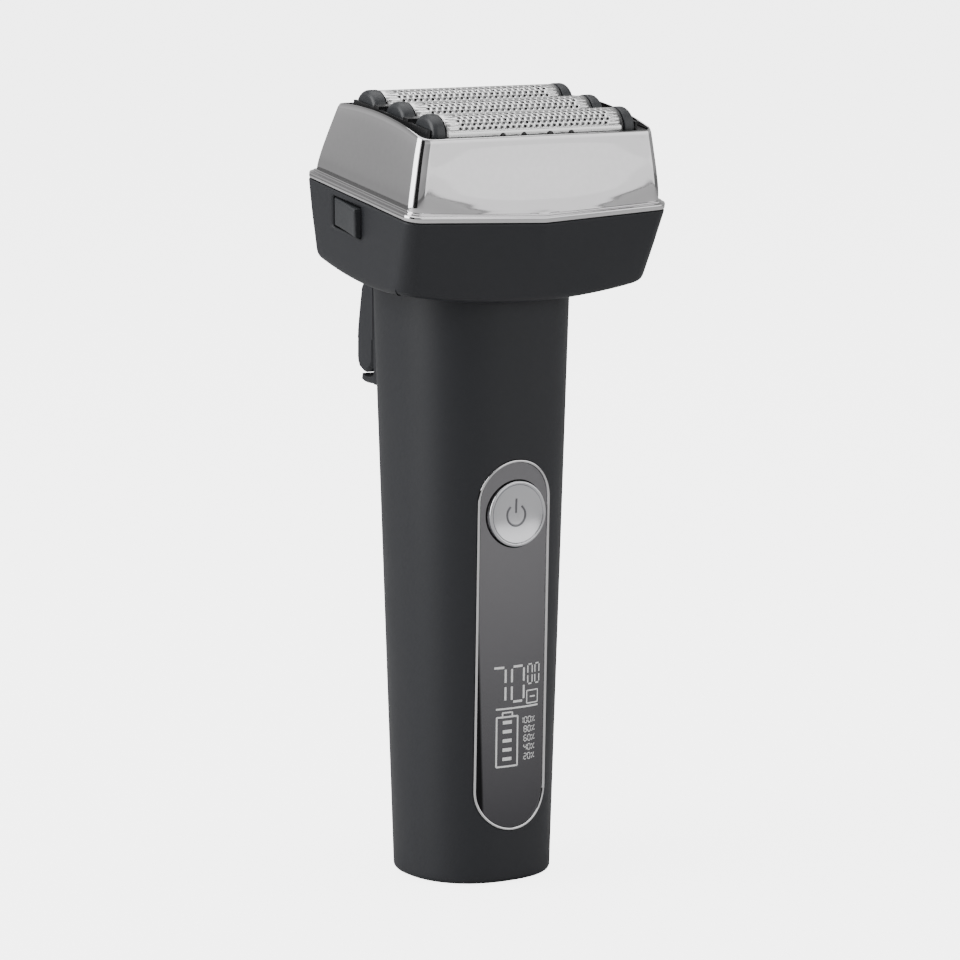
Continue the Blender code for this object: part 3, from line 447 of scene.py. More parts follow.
def sleeve_patches():
    lower, right, upper, left = (on_sheet(run) for run in stadium(0.12, AROUND, UP_SIDE))
    turn = np.linspace(-math.pi, math.pi, AROUND)
    climb = np.linspace(SHEET_LOW, SHEET_HIGH, UP_SIDE)
    foot_edge = np.stack([turn, np.full(AROUND, SHEET_LOW)], axis=-1)
    head_edge = np.stack([turn[::-1], np.full(AROUND, SHEET_HIGH)], axis=-1)
    right_edge = np.stack([np.full(UP_SIDE, math.pi), climb], axis=-1)
    left_edge = np.stack([np.full(UP_SIDE, -math.pi), climb[::-1]], axis=-1)
    runs = ((lower, foot_edge), (right, right_edge), (upper, head_edge), (left, left_edge))
    patches = []
    for start, end in runs:
        sheet = between(start, end, OUTWARD, 1.3)
        patches.append(patch(skin(sheet[..., 0], sheet[..., 1])))
        inset = np.linspace(1.3, 0.0, 3)[:, None]
        patches.append(patch(skin(start[None, :, 0], start[None, :, 1], inset)))
    bend = np.linspace(0, math.pi / 2, 9)[:, None]
    fillet_z = SLEEVE_FOOT + FOOT_FILLET * (1 - np.sin(bend))
    fillet_in = FOOT_FILLET * (1 - np.cos(bend))
    patches.append(patch(skin(turn[None, :], fillet_z, fillet_in)))
    band = np.linspace(SLEEVE_FOOT + FOOT_FILLET, SHEET_LOW, 5)[:, None]
    patches.append(patch(skin(turn[None, :], band)))
    inner = np.array((1.1, WALL, WALL))[:, None]
    inner_z = np.array((SLEEVE_FOOT, SLEEVE_FOOT, 4.0))[:, None]
    patches.append(patch(skin(turn[None, :], inner_z, inner)))
    rim = skin(turn, np.full(AROUND, NECK_Z))
    top = neck_height(rim[:, 1], NECK_LOCAL - 0.06)
    rise = np.linspace(0, 1, 13)[:, None]
    neck = skin(turn[None, :], SHEET_HIGH + (np.minimum(top, NECK_Z + 9)[None, :] - SHEET_HIGH) * rise)
    patches.append(patch(neck))
    lip = neck[-1][None] * np.array((1.0, 0.9))[:, None, None] * (1, 1, 0) + neck[-1][None] * (0, 0, 1)
    patches.append(patch(lip))
    return patches


sleeve = build("handle_sleeve_skin", sleeve_patches(), SOFT_TOUCH, 40.0, inside=(0.0, 0.0, 60.0))
install(sleeve, "handle", "soft_touch_charcoal", "handle_sleeve")

# %% [markdown]
# ## Bezel, panel and figures
# A thin chrome bezel follows the window. Its section is a flat band with round shoulders, carried
# along the window's outline. The smoked panel behind it lies in the handle's own curve, with a round
# hole for the power button. The display's figures are ribbons laid on the panel, so they stay sharp.


# %% Bezel
def outline_loop(grow):
    """The stadium's four runs as one closed run of (x, z), without its doubled corners."""
    return np.concatenate([run[:-1] for run in stadium(grow, 49, 61)])


def on_skin(x, z, inset=0.0):
    """The front of the handle's skin at x and z, moved inwards by inset."""
    return skin(angle_at(x, z), z, inset)


def bezel_patches():
    shoulders = ((0.0, 1.2), (0.0, 0.0), (-0.03, -0.14), (-0.12, -0.2), (-0.25, -0.21), (-0.38, -0.2))
    shoulders += ((-0.47, -0.14), (-0.5, 0.0), (-0.5, 0.5), (-0.5, 1.2))
    rows = [on_skin(*outline_loop(grow).T, inset) for grow, inset in shoulders]
    return [patch(np.array(rows), close_rows=True, close_columns=True)]


bezel = build("bezel_ring_skin", bezel_patches(), CHROME, 50.0)
install(bezel, "handle", "chrome", "bezel_ring")

# %% [markdown]
# The panel is one sheet with a round hole. Rows of points fill it up to a level under the button; from
# there, rings of points run from the hole out to the window's edge, so no quad crosses the hole.

# %% Panel
BUTTON_Z = 76.0
BUTTON_RADIUS = 6.65
PANEL_GROW = -0.56
PANEL_INSET = 0.12
HOLE_RADIUS = BUTTON_RADIUS + 0.28
HOLE_DEPTH = 1.6
RING_LOW = 66.0
PANEL_ACROSS, PANEL_CLIMB = 25, 17


def panel_patches():
    """Below, rows of points from the left edge to the right; above, rings from the hole out to the edge."""
    half = WINDOW_HALF + PANEL_GROW
    low = WINDOW_LOW + WINDOW_HALF
    dome = low - half * np.cos(np.linspace(0, math.pi / 2, PANEL_ACROSS))
    heights = np.concatenate([dome, np.linspace(low, RING_LOW, 50)[1:]])
    reach = np.where(heights < low, np.sqrt(np.maximum(half**2 - (heights - low) ** 2, 0.0)), half)
    across = np.linspace(-1, 1, PANEL_ACROSS)
    below = on_skin(reach[:, None] * across, np.repeat(heights[:, None], PANEL_ACROSS, axis=1), PANEL_INSET)
    upper = stadium(PANEL_GROW, 49, 2)[2]
    climb = np.linspace(RING_LOW, WINDOW_HIGH - WINDOW_HALF, PANEL_CLIMB)
    edge = np.concatenate([
        np.stack([half * across, np.full(PANEL_ACROSS, RING_LOW)], axis=-1)[:-1],
        np.stack([np.full(PANEL_CLIMB, half), climb], axis=-1)[:-1],
        upper[:-1],
        np.stack([np.full(PANEL_CLIMB, -half), climb[::-1]], axis=-1)[:-1],
    ])
    turn = np.arctan2(edge[:, 1] - BUTTON_Z, edge[:, 0])
    hole = np.stack([HOLE_RADIUS * np.cos(turn), BUTTON_Z + HOLE_RADIUS * np.sin(turn)], axis=-1)
    rings = between(hole, edge, 9, 1.4)
    above = on_skin(rings[..., 0], rings[..., 1], PANEL_INSET)
    wall = on_skin(hole[:, 0], hole[:, 1], PANEL_INSET + np.array((HOLE_DEPTH, 0.0))[:, None])
    return [patch(below), patch(above, close_columns=True), patch(wall, close_columns=True)]


panel = build("display_panel_skin", panel_patches(), PANEL, 50.0, inside=(0.0, 0.0, 50.0))
install(panel, "handle", "smoked_panel", "display_panel")

# %% [markdown]
# The figures are printed light on the real panel. A flat ribbon for each stroke needs no font and no
# texture: seven strokes make a digit, and a few more make the battery mark and the underline.


# %% Ribbons
def ribbon(run, width, place, step=0.35):
    """A flat stroke: points along a run, moved by half the width to each side and laid on a surface by place."""
    run = np.asarray(run, float)
    length = np.concatenate([[0.0], np.cumsum(np.linalg.norm(np.diff(run, axis=0), axis=1))])
    at = np.unique(np.concatenate([length, np.arange(0, length[-1], step)]))
    line = np.stack([np.interp(at, length, run[:, axis]) for axis in (0, 1)], axis=-1)
    along = np.gradient(line, axis=0)
    along /= np.linalg.norm(along, axis=1)[:, None]
    side = np.stack([-along[:, 1], along[:, 0]], axis=-1) * width / 2
    rows = np.stack([line - side, line + side])
    return patch(place(rows[..., 0], rows[..., 1]))


SEGMENTS = {
    "a": ((0.12, 1.0), (0.88, 1.0)),
    "b": ((1.0, 0.94), (1.0, 0.56)),
    "c": ((1.0, 0.44), (1.0, 0.06)),
    "d": ((0.12, 0.0), (0.88, 0.0)),
    "e": ((0.0, 0.44), (0.0, 0.06)),
    "f": ((0.0, 0.94), (0.0, 0.56)),
    "g": ((0.12, 0.5), (0.88, 0.5)),
}
DIGITS = {"0": "abcdef", "1": "bc", "2": "abged", "4": "fgbc", "6": "afgedc", "7": "abc", "8": "abcdefg"}


def number(text, left, low, width, height, gap, stroke, place):
    """Seven-segment digits from left to right."""
    patches = []
    for index, digit in enumerate(text):
        corner = np.array((left + index * (width + gap), low))
        for segment in DIGITS[digit]:
            run = corner + np.array(SEGMENTS[segment]) * (width, height)
            patches.append(ribbon(run, stroke, place))
    return patches


# %% Display figures
FIGURE_PROUD = 0.04


def on_panel(x, z):
    return on_skin(x, z, PANEL_INSET - FIGURE_PROUD)


def frame_run(left, low, right, high):
    """A rectangle's outline as one closed run."""
    return ((left, low), (right, low), (right, high), (left, high), (left, low))


def figure_patches():
    patches = number("70", -5.0, 37.6, 2.9, 7.2, 1.5, 0.46, on_panel)
    patches += number("00", 3.3, 40.9, 1.15, 4.0, 0.75, 0.28, on_panel)
    patches.append(ribbon(frame_run(3.1, 36.9, 6.0, 39.5), 0.26, on_panel))
    patches.append(ribbon(((3.9, 38.2), (5.3, 38.2)), 0.3, on_panel))
    patches.append(ribbon(((-4.2, 36.3), (6.1, 36.3)), 0.36, on_panel))
    patches.append(ribbon(frame_run(-4.0, 24.4, 0.9, 34.6), 0.36, on_panel))
    patches.append(ribbon(((-2.7, 34.6), (-2.7, 35.5), (-0.4, 35.5), (-0.4, 34.6)), 0.32, on_panel))
    for level, text in enumerate(("20", "40", "60", "80", "100")):
        low = 25.4 + 1.88 * level
        patches.append(ribbon(((-2.6, low + 0.55), (-0.5, low + 0.55)), 0.7, on_panel))
        left = 2.5 - 0.95 * (len(text) - 2)
        patches += number(text, left, low, 0.68, 1.2, 0.32, 0.18, on_panel)
        patches.append(ribbon(((4.55, low), (5.25, low + 1.2)), 0.16, on_panel))
        patches.append(ribbon(((4.45, low + 1.0), (4.75, low + 1.0)), 0.22, on_panel))
        patches.append(ribbon(((5.05, low + 0.2), (5.35, low + 0.2)), 0.22, on_panel))
    return patches


figures = build("display_figures", figure_patches(), FIGURES, 30.0, inside=(0.0, 0.0, 45.0))
install(figures, "handle", "white_plastic")

# %% [markdown]
# ## Power button
# The button is turned: a bright rounded rim round a shallow dish that catches one soft highlight. A
# standby mark, an open ring with a bar, stands up from the dish as a fine half-round bead.

# %% Button profile
BUTTON_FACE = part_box("power_button")[0].y / MM
DISH_EDGE = BUTTON_RADIUS - 0.75
DISH_DEPTH = 0.75


def dish(radius):
    """Depth of the dish at a radius: a bowl whose slope is steepest at the rim."""
    return BUTTON_FACE + 0.12 + DISH_DEPTH * (1.0 - np.clip(radius / DISH_EDGE, 0, 1) ** 2.4)


def turned_y(profile, count=96):
    """Rows of circles about the button's axis, one for each (radius, y) of the profile."""
    turn = np.linspace(0, 2 * math.pi, count, endpoint=False)
    radius, level = (np.asarray(values, float)[:, None] for values in zip(*profile))
    x = radius * np.cos(turn)
    return np.stack([x, np.broadcast_to(level, x.shape), BUTTON_Z + radius * np.sin(turn)], axis=-1)


def button_patches():
    bend = np.linspace(0, math.pi, 13)
    middle = (BUTTON_RADIUS + DISH_EDGE) / 2
    half = (BUTTON_RADIUS - DISH_EDGE) / 2
    rim = [(middle + half * math.cos(a), BUTTON_FACE + 0.3 * (1 - math.sin(a))) for a in bend]
    bowl = [(radius, float(dish(radius))) for radius in np.linspace(DISH_EDGE - 0.06, 0.0, 26)]
    sides = [(0.0, BUTTON_FACE + 2.6), (BUTTON_RADIUS, BUTTON_FACE + 2.6), (BUTTON_RADIUS, BUTTON_FACE + 0.6)]
    stem = [(1.6, BUTTON_FACE + 2.5), (1.6, BUTTON_FACE + 4.5), (0.0, BUTTON_FACE + 4.5)]
    return [patch(turned_y(profile), close_columns=True) for profile in (sides + rim + bowl, stem)]


def bead(run, width, height):
    """A half-round bead on the dish: across the run it rises as a half circle from both edges."""
    run = np.asarray(run, float)
    along = np.gradient(run, axis=0)
    along /= np.linalg.norm(along, axis=1)[:, None]
    side = np.stack([-along[:, 1], along[:, 0]], axis=-1)
    turn = np.linspace(0, math.pi, 9)[:, None]
    x = run[:, 0] + side[:, 0] * np.cos(turn) * width / 2
    z = run[:, 1] + side[:, 1] * np.cos(turn) * width / 2
    level = dish(np.hypot(x, z)) + 0.03 - height * np.sin(turn)
    return patch(np.stack([x, level, BUTTON_Z + z], axis=-1))


MARK_RADIUS, MARK_STROKE, MARK_RISE = 2.15, 0.5, 0.14


def mark_patches():
    turn = np.linspace(math.radians(128), math.radians(412), 60)
    ring_run = np.stack([MARK_RADIUS * np.cos(turn), MARK_RADIUS * np.sin(turn) - 0.3], axis=-1)
    bar_run = np.stack([np.zeros(14), np.linspace(0.1, 3.0, 14)], axis=-1)
    return [bead(run, MARK_STROKE, MARK_RISE) for run in (ring_run, bar_run)]


button = build("power_button_skin", button_patches(), SATIN, 50.0)
install(button, "power_button", "satin_metal", "power_button")
mark = build("standby_mark", mark_patches(), DARK_METAL, 60.0, inside=(0.0, 5.0, BUTTON_Z))
install(mark, "power_button", "satin_metal")

# %% [markdown]
# ## Head outline
# Every piece of the head shares one outline: a rectangle with round corners whose front and rear come
# out to a low ridge in the middle. A section is nine measures, and a skin is the same outline carried
# through a list of sections, so that seams run true from one piece to the next.

# %% Head outline
SLOT_Y = (-1.6, 9.4)
SLOT_Z = (-0.2, 6.3)
CORNER_COUNT = 13


def outline_columns():
    """For each column: where its corner centre lies as a share of the halves (share_x, share_y), the
    direction it faces (face_x, face_y), and the fixed y of a column on a straight side."""
    front = np.linspace(0, 1, 30)
    ahead, beside, behind = np.linspace(-14.0, SLOT_Y[0], 12), np.linspace(*SLOT_Y, 12)[1:], (11.0, 12.6, 14.2)
    side = np.concatenate([ahead, beside, behind])
    rows = []
    for corner, start in enumerate((-0.5, 0.0, 0.5, 1.0)):
        sign_x = 1 if corner in (0, 1) else -1
        sign_y = -1 if corner in (0, 3) else 1
        bends = math.pi * (start + np.linspace(0, 0.5, CORNER_COUNT))
        arc = [(sign_x, sign_y, math.cos(bend), math.sin(bend), np.nan) for bend in bends]
        flat_x = [(sign_x * share, sign_y, 0.0, sign_y, np.nan) for share in front[:-1]]
        if corner == 0:
            rows += flat_x + arc + [(1, 0, 1.0, 0.0, y) for y in side]
        elif corner == 1:
            rows += arc + flat_x[::-1]
        elif corner == 2:
            rows += flat_x[1:] + arc + [(-1, 0, -1.0, 0.0, y) for y in side[::-1]]
        else:
            rows += arc + flat_x[::-1][:-1]
    return np.array(rows, float).T


SHARE_X, SHARE_Y, FACE_X, FACE_Y, SIDE_Y = outline_columns()


BEAD_TOP = 9.15


def head_rings(sections):
    """The outline through sections of (z, half_x, front, rear, radius, front_prow, rear_prow, dip, sag, bow). A
    prow is how far a ridge comes out, dip how far the ridges hang, sag how far the sides' middles hang (below
    nought they rise), and bow turns the straight-sided ridges into bows. In plan they always bow above the bead."""
    columns = (column[:, None] for column in np.asarray(sections, float).T)
    z, half_x, front, rear, radius, front_prow, rear_prow, dip, sag, bow = columns
    x = SHARE_X * (half_x - radius) + FACE_X * radius
    behind = np.where(np.isnan(SIDE_Y), SHARE_Y, SIDE_Y) > 0
    depth = np.where(behind, rear, front)
    plan_bow = np.where(z > BEAD_TOP, 1.0, bow)
    y = np.where(np.isnan(SIDE_Y), SHARE_Y * (depth - radius) + FACE_Y * radius, SIDE_Y)
    part = np.abs(x) / half_x
    ridge = (1 - bow) * (1 - part) + bow * (1 - part**2)
    plan = (1 - plan_bow) * (1 - part) + plan_bow * (1 - part**2)
    reach = np.minimum(np.abs(y) / depth, 1.0)
    drop = dip * ridge * reach + sag * (1 - reach**2) * part
    y = y + np.where(behind, rear_prow, -front_prow) * plan * np.isnan(SIDE_Y)
    return np.stack([x, y, z - drop], axis=-1)


def neck_ring(like):
    """The handle's neck in the head's frame. Each point lies in the direction of the same point of like."""
    centre = (-HEAD_ORIGIN[1] + NECK_LOCAL * math.sin(HEAD_TILT)) / math.cos(HEAD_TILT)
    half_x, half_y = NECK_HALF[0], NECK_HALF[1] / math.cos(HEAD_TILT)
    across, along = like[:, 0] / half_x, (like[:, 1] - centre) / half_y
    reach = (np.abs(across) ** NECK_POWER + np.abs(along) ** NECK_POWER) ** (-1 / NECK_POWER)
    level = np.full(len(like), NECK_LOCAL)
    return np.stack([across * reach * half_x, centre + along * reach * half_y, level], axis=-1)


print("head outline has", len(SHARE_X), "columns")

# %% [markdown]
# ## Head base
# The charcoal bowl under the frame is one moulding. Its walls lean out to the seam, its lower edge is a
# soft round that hangs lowest at the front ridge, and its underside runs in to the neck. Slots in both
# side walls take the release buttons.

# %% Head base
BASE_SECTIONS = (
    (-8.15, 26.7, 15.0, 17.5, 3.2, 1.2, 4.0, 2.5, 1.5, 1.0),
    (-8.05, 27.6, 15.8, 17.8, 3.2, 1.25, 3.8, 2.5, 1.5, 1.0),
    (-7.75, 28.35, 16.45, 18.05, 3.3, 1.3, 3.65, 2.5, 1.5, 1.0),
    (-7.2, 28.85, 16.9, 18.25, 3.3, 1.35, 3.5, 2.47, 1.4, 1.0),
    (-6.2, 29.15, 17.2, 18.45, 3.3, 1.4, 3.4, 2.4, 1.2, 1.0),
    (-3.2, 29.48, 17.85, 19.1, 3.2, 1.4, 2.85, 2.0, 0.5, 0.9),
    (SLOT_Z[0], 29.8, 18.5, 19.8, 3.1, 1.4, 2.3, 1.6, 0.0, 0.7),
    (3.0, 30.1, 19.15, 20.45, 3.05, 1.4, 1.75, 1.25, 0.0, 0.3),
    (SLOT_Z[1], 30.42, 19.82, 21.02, 3.0, 1.4, 1.35, 1.02, 0.0, 0.0),
    (7.1, 30.47, 19.95, 21.15, 3.0, 1.4, 1.2, 1.0, 0.0, 0.0),
    (7.36, 30.3, 19.8, 21.0, 2.85, 1.4, 1.2, 1.0, 0.0, 0.0),
)
BASE_SPAN = 5
BASE_WALL = 0.6


def base_patches():
    sections = through(BASE_SECTIONS, BASE_SPAN)
    rings = head_rings(sections)
    z = sections[:, 0]
    row_in = (z[:-1] > SLOT_Z[0] - 0.01) & (z[1:] < SLOT_Z[1] + 0.01)
    after = np.roll(SIDE_Y, -1)
    low, high = np.fmin(SIDE_Y, after), np.fmax(SIDE_Y, after)
    column_in = (low > SLOT_Y[0] - 0.01) & (high < SLOT_Y[1] + 0.01) & ~np.isnan(SIDE_Y) & ~np.isnan(after)
    keep = ~(row_in[:, None] & column_in[None, :])
    neck = neck_ring(rings[0])
    part = np.linspace(0, 1, 9)[:, None, None]
    under = neck * (1 - part) + rings[0] * part
    under[..., 2] += 0.25 * np.sin(math.pi * part[..., 0])
    collar = neck + np.array((0.0, 0.0, 1.5)) * np.array((1.0, 0.0))[:, None, None]
    collar[..., :2] *= np.array((0.93, 1.0))[:, None, None]
    return [head_patch(collar, close_columns=True), head_patch(under, close_columns=True),
            head_patch(rings, close_columns=True, keep=keep)]


head_base = build("head_base_skin", base_patches(), SOFT_TOUCH, 40.0, inside=(0.0, -5.0, 133.0))
thicken(head_base, BASE_WALL)
install(head_base, "handle", "soft_touch_charcoal", "head_base")

# %% [markdown]
# ## Foil frame
# The frame is chrome plate over a moulded dome. Chrome shows every bend of its surface, so the dome is
# a smooth curve through a few sections, and the flange, the fine bead above it and the rim have real
# round edges that each carry a line of light.

# %% Foil frame
FLANGE = ((7.5, 28.9), (7.5, 30.25), (7.56, 30.42), (7.75, 30.5), (8.5, 30.5), (8.68, 30.42), (8.74, 30.2))
FLANGE += ((8.76, 29.85), (8.82, 29.76), (8.92, 29.78), (9.06, 29.74), (9.12, 29.58), (9.14, 29.42))
DOME_SECTIONS = (
    (9.2, 29.36, 18.86, 20.06, 2.6, 1.4, 1.2, 1.0, 0.0, 0.05),
    (10.4, 29.3, 18.8, 19.95, 2.6, 1.2, 1.1, 0.8, 0.0, 0.6),
    (12.4, 29.08, 18.58, 19.6, 2.6, 0.95, 0.9, 0.55, 0.0, 1.0),
    (15.5, 28.6, 18.12, 18.92, 2.6, 0.55, 0.5, 0.3, -0.25, 1.0),
    (18.4, 28.1, 17.6, 18.2, 2.6, 0.25, 0.25, 0.1, -0.7, 1.0),
    (20.9, 27.62, 17.18, 17.55, 2.55, 0.05, 0.05, 0.0, -1.2, 1.0),
    (22.3, 27.3, 16.95, 17.2, 2.45, 0.0, 0.0, 0.0, -1.5, 1.0),
)
RIM = ((22.75, 27.1), (23.0, 26.95), (23.1, 26.75), (23.05, 26.62), (22.8, 26.6), (21.9, 26.65))


def frame_sections():
    flange = [(z, x, x - 10.5, x - 9.3, x - 27.5, 1.4, 1.2, 1.0, 0.0, 0.0) for z, x in FLANGE]
    rim = [(z, x, x - 10.25, x - 10.1, x - 24.7, 0.0, 0.0, 0.0, -1.6, 1.0) for z, x in RIM]
    inner = [
        (19.2, 27.0, 16.5, 17.0, 2.0, 0.0, 0.0, 0.0, -0.8, 1.0),
        (12.4, 27.9, 17.2, 18.2, 2.0, 0.8, 0.7, 0.4, 0.0, 1.0),
        (7.9, 28.85, 18.35, 19.55, 2.2, 1.4, 1.2, 1.0, 0.0, 0.0),
    ]
    return np.array(flange + through(DOME_SECTIONS, 8).tolist() + rim + inner)


foil_frame = build("foil_frame_skin", [head_patch(head_rings(frame_sections()), True, True)], CHROME, 60.0)
install(foil_frame, "foil_frame", "chrome", "foil_frame")

# %% [markdown]
# ## Foils
# A real foil is a thin steel sheet bent over an arch and pierced by rows of fine holes, each row set
# half a step along. The sheet is laid out flat as cells with an eight-sided hole in each, then rolled
# over the arch. A plain margin at each end and along both feet keeps it stiff.

# %% Perforated foils
FOIL_HALF, FOIL_RADIUS, FOIL_CREST, FOIL_FOOT = 20.7, 3.9, 26.6, 20.2
FOIL_Y = {"front": -11.0, "middle": 0.0, "rear": 11.0}
CELL = np.array((1.36, 0.86))
HOLE = 0.34
FOIL_WALL = 0.12
COLUMNS, ROWS = 26, 11


def over_arch(x, along, y, radius, crest):
    """A point at a length along from the crest, over a half circle and then straight down to the foot."""
    quarter = radius * math.pi / 2
    turn = np.clip(along, -quarter, quarter) / radius
    down = np.maximum(np.abs(along) - quarter, 0.0)
    return np.stack([x, y + radius * np.sin(turn), crest - radius + radius * np.cos(turn) - down], axis=-1)


def cell_faces():
    """One cell: eight corners of its hole, eight points round its edge, and the quads between them."""
    turn = np.arange(8) * math.pi / 4
    hole = HOLE * np.stack([np.cos(turn), np.sin(turn)], axis=-1)
    edge = np.sign(np.round(np.stack([np.cos(turn), np.sin(turn)], axis=-1), 6)) * CELL / 2
    after = (np.arange(8) + 1) % 8
    faces = np.stack([np.arange(8), after, after + 8, np.arange(8) + 8], axis=-1)
    return np.concatenate([hole, edge]), faces


def foil_patches(y):
    """Rows of cells, each row moved a quarter of a cell one way or the other, with plain ends and feet."""
    points, faces = cell_faces()
    half_run = FOIL_RADIUS * math.pi / 2 + FOIL_CREST - FOIL_RADIUS - FOIL_FOOT
    patches = []
    for row in range(ROWS):
        shift = CELL[0] / 4 * (1 if row % 2 else -1)
        middle = (row - (ROWS - 1) / 2) * CELL[1]
        step = (np.arange(COLUMNS) - (COLUMNS - 1) / 2) * CELL[0] + shift
        flat = points[None] + np.stack([step, np.full(COLUMNS, middle)], axis=-1)[:, None, :]
        placed = over_arch(flat[..., 0], flat[..., 1], y, FOIL_RADIUS, FOIL_CREST).reshape(-1, 3)
        numbers = (faces[None] + 16 * np.arange(COLUMNS)[:, None, None]).reshape(-1, 4)
        patches.append((in_part(placed), numbers))
        for end in (-1, 1):
            start = end * COLUMNS / 2 * CELL[0] + shift
            x = np.linspace(start, end * FOIL_HALF, 3)[:, None]
            along = middle + np.array((-0.5, 0.0, 0.5))[None, :] * CELL[1]
            x, along = np.broadcast_arrays(x, along)
            patches.append(head_patch(over_arch(x, along, y, FOIL_RADIUS, FOIL_CREST)))
    lattice = ROWS / 2 * CELL[1]
    for side in (-1, 1):
        along = side * np.linspace(lattice, half_run, 9)[None, :]
        x = np.linspace(-FOIL_HALF, FOIL_HALF, 2 * COLUMNS + 1)[:, None]
        x, along = np.broadcast_arrays(x, along)
        patches.append(head_patch(over_arch(x, along, y, FOIL_RADIUS, FOIL_CREST)))
    return patches


for place, y in FOIL_Y.items():
    centre = tuple(in_part((0.0, y, 20.0)))
    foil = build("foil_" + place + "_mesh", foil_patches(y), FOIL_STEEL, 40.0, inside=centre)
    thicken(foil, FOIL_WALL)
    install(foil, "foil_unit_" + place, "foil_steel", "foil_" + place)

# %% [markdown]
# ## Foil carriers
# Each foil hangs between two D-shaped end caps on a pair of rails. A cap is the foil's own arch, a
# little larger, run outwards and closed over with a fillet, so that its rim carries a curved highlight.

# %% Carriers
CAP_RADIUS, CAP_CREST, CAP_FOOT = 4.15, 26.74, 18.7
CAP_NEAR, CAP_FAR, CAP_FILLET = 21.0, 23.68, 1.15
RAIL_NEAR, RAIL_TOP = 3.5, 19.9


def cap_section(x, y, inset):
    """The arch's outline as a closed loop at x, moved in by inset all round except at the foot."""
    turn = np.linspace(0, math.pi, 33)
    radius = CAP_RADIUS - inset
    arc = np.stack([y - radius * np.cos(turn), CAP_CREST - CAP_RADIUS + radius * np.sin(turn)], axis=-1)
    legs = np.array([(y - radius, CAP_FOOT + inset * 0.3)]), np.array([(y + radius, CAP_FOOT + inset * 0.3)])
    loop = np.concatenate([legs[0], arc, legs[1]])
    return np.concatenate([np.full((len(loop), 1), x), loop], axis=1)


def carrier_patches(y):
    """Two end caps, each a stack of arches that shrink over the fillet, and the two rails between them."""
    bend = np.linspace(0, math.pi / 2, 8)
    middle = np.array((y, CAP_CREST - CAP_RADIUS - 0.5))
    patches = []
    for side in (-1, 1):
        steps = [(CAP_NEAR, 0.12), (CAP_NEAR + 0.12, 0.0)]
        steps += [(CAP_FAR - CAP_FILLET * (1 - math.sin(a)), CAP_FILLET * (1 - math.cos(a))) for a in bend]
        rings = [cap_section(side * x, y, inset) for x, inset in steps]
        for start in (rings[-1], rings[0]):
            inner = start.copy()
            inner[:, 1:] = middle + (start[:, 1:] - middle) * 0.02
            patches.append(head_patch(np.stack([start, inner]), close_columns=True))
        patches.append(head_patch(np.stack(rings), close_columns=True))
    reach = CAP_NEAR + 0.1
    for rail in (-1, 1):
        low, high = sorted((y + rail * RAIL_NEAR, y + rail * CAP_RADIUS))
        box_run = np.array(((low, CAP_FOOT), (high, CAP_FOOT), (high, RAIL_TOP), (low, RAIL_TOP)))
        rows = [np.concatenate([np.full((4, 1), x), box_run], axis=1) for x in (-reach, reach)]
        patches.append(head_patch(np.stack(rows), close_columns=True))
    return patches


for place, y in FOIL_Y.items():
    carrier = build("foil_carrier_" + place + "_skin", carrier_patches(y), DARK_PLASTIC, 40.0)
    install(carrier, "foil_unit_" + place, "dark_plastic", "foil_carrier_" + place)

# %% [markdown]
# ## Foil tabs
# Four small dark tabs show low on the front foil, unevenly spaced, as moulded hooks that come through
# its foot would. Each is a flattened half ball, a grid of a turn and a rise, set against the foil.

# %% Foil tabs
TAB_PLACES = ((-7.7, 0.7), (-2.8, 0.7), (3.3, 0.85), (8.3, 0.75))
TAB_FOOT, TAB_HEIGHT, TAB_PROUD = 22.75, 0.7, 0.28


def tab_patches():
    """For each (x, half-width): a flattened half ball that stands on the foil's front foot."""
    patches = []
    turn, rise = np.meshgrid(np.linspace(0, math.pi, 15), np.linspace(0, math.pi / 2, 7))
    for x, size in TAB_PLACES:
        across = x + size * np.cos(turn) * np.cos(rise)
        out = FOIL_Y["front"] - FOIL_RADIUS - TAB_PROUD * np.sin(rise) + 0.05
        up = TAB_FOOT + TAB_HEIGHT * np.sin(turn) * np.cos(rise)
        patches.append(head_patch(np.stack([across, out, up], axis=-1)))
    return patches


tab_centre = tuple(in_part((0.0, FOIL_Y["front"], 20.0)))
tabs = build("foil_hooks_front", tab_patches(), BLACK_PLASTIC, 60.0, inside=tab_centre)
install(tabs, "foil_unit_front", "black_plastic")

# %% [markdown]
# ## Release buttons
# Each button is a wedge in the base's slot: it runs flush at the rear and stands proud at the front,
# where a thumb pushes it in. Its surface is a grid with all its edges rounded.

# %% Release buttons
BUTTON_Y = (SLOT_Y[0] + 0.3, SLOT_Y[1] - 0.3)
BUTTON_RISE = (SLOT_Z[0] + 0.3, SLOT_Z[1] - 0.4)
BUTTON_BACK = 28.5


def eased(share, round_part):
    """How much of the full height stands at a share of the way across: a quarter circle at each end."""
    edge = np.minimum(np.minimum(share, 1 - share) / round_part, 1.0)
    return np.sqrt(np.maximum(1 - (1 - edge) ** 2, 0.0))


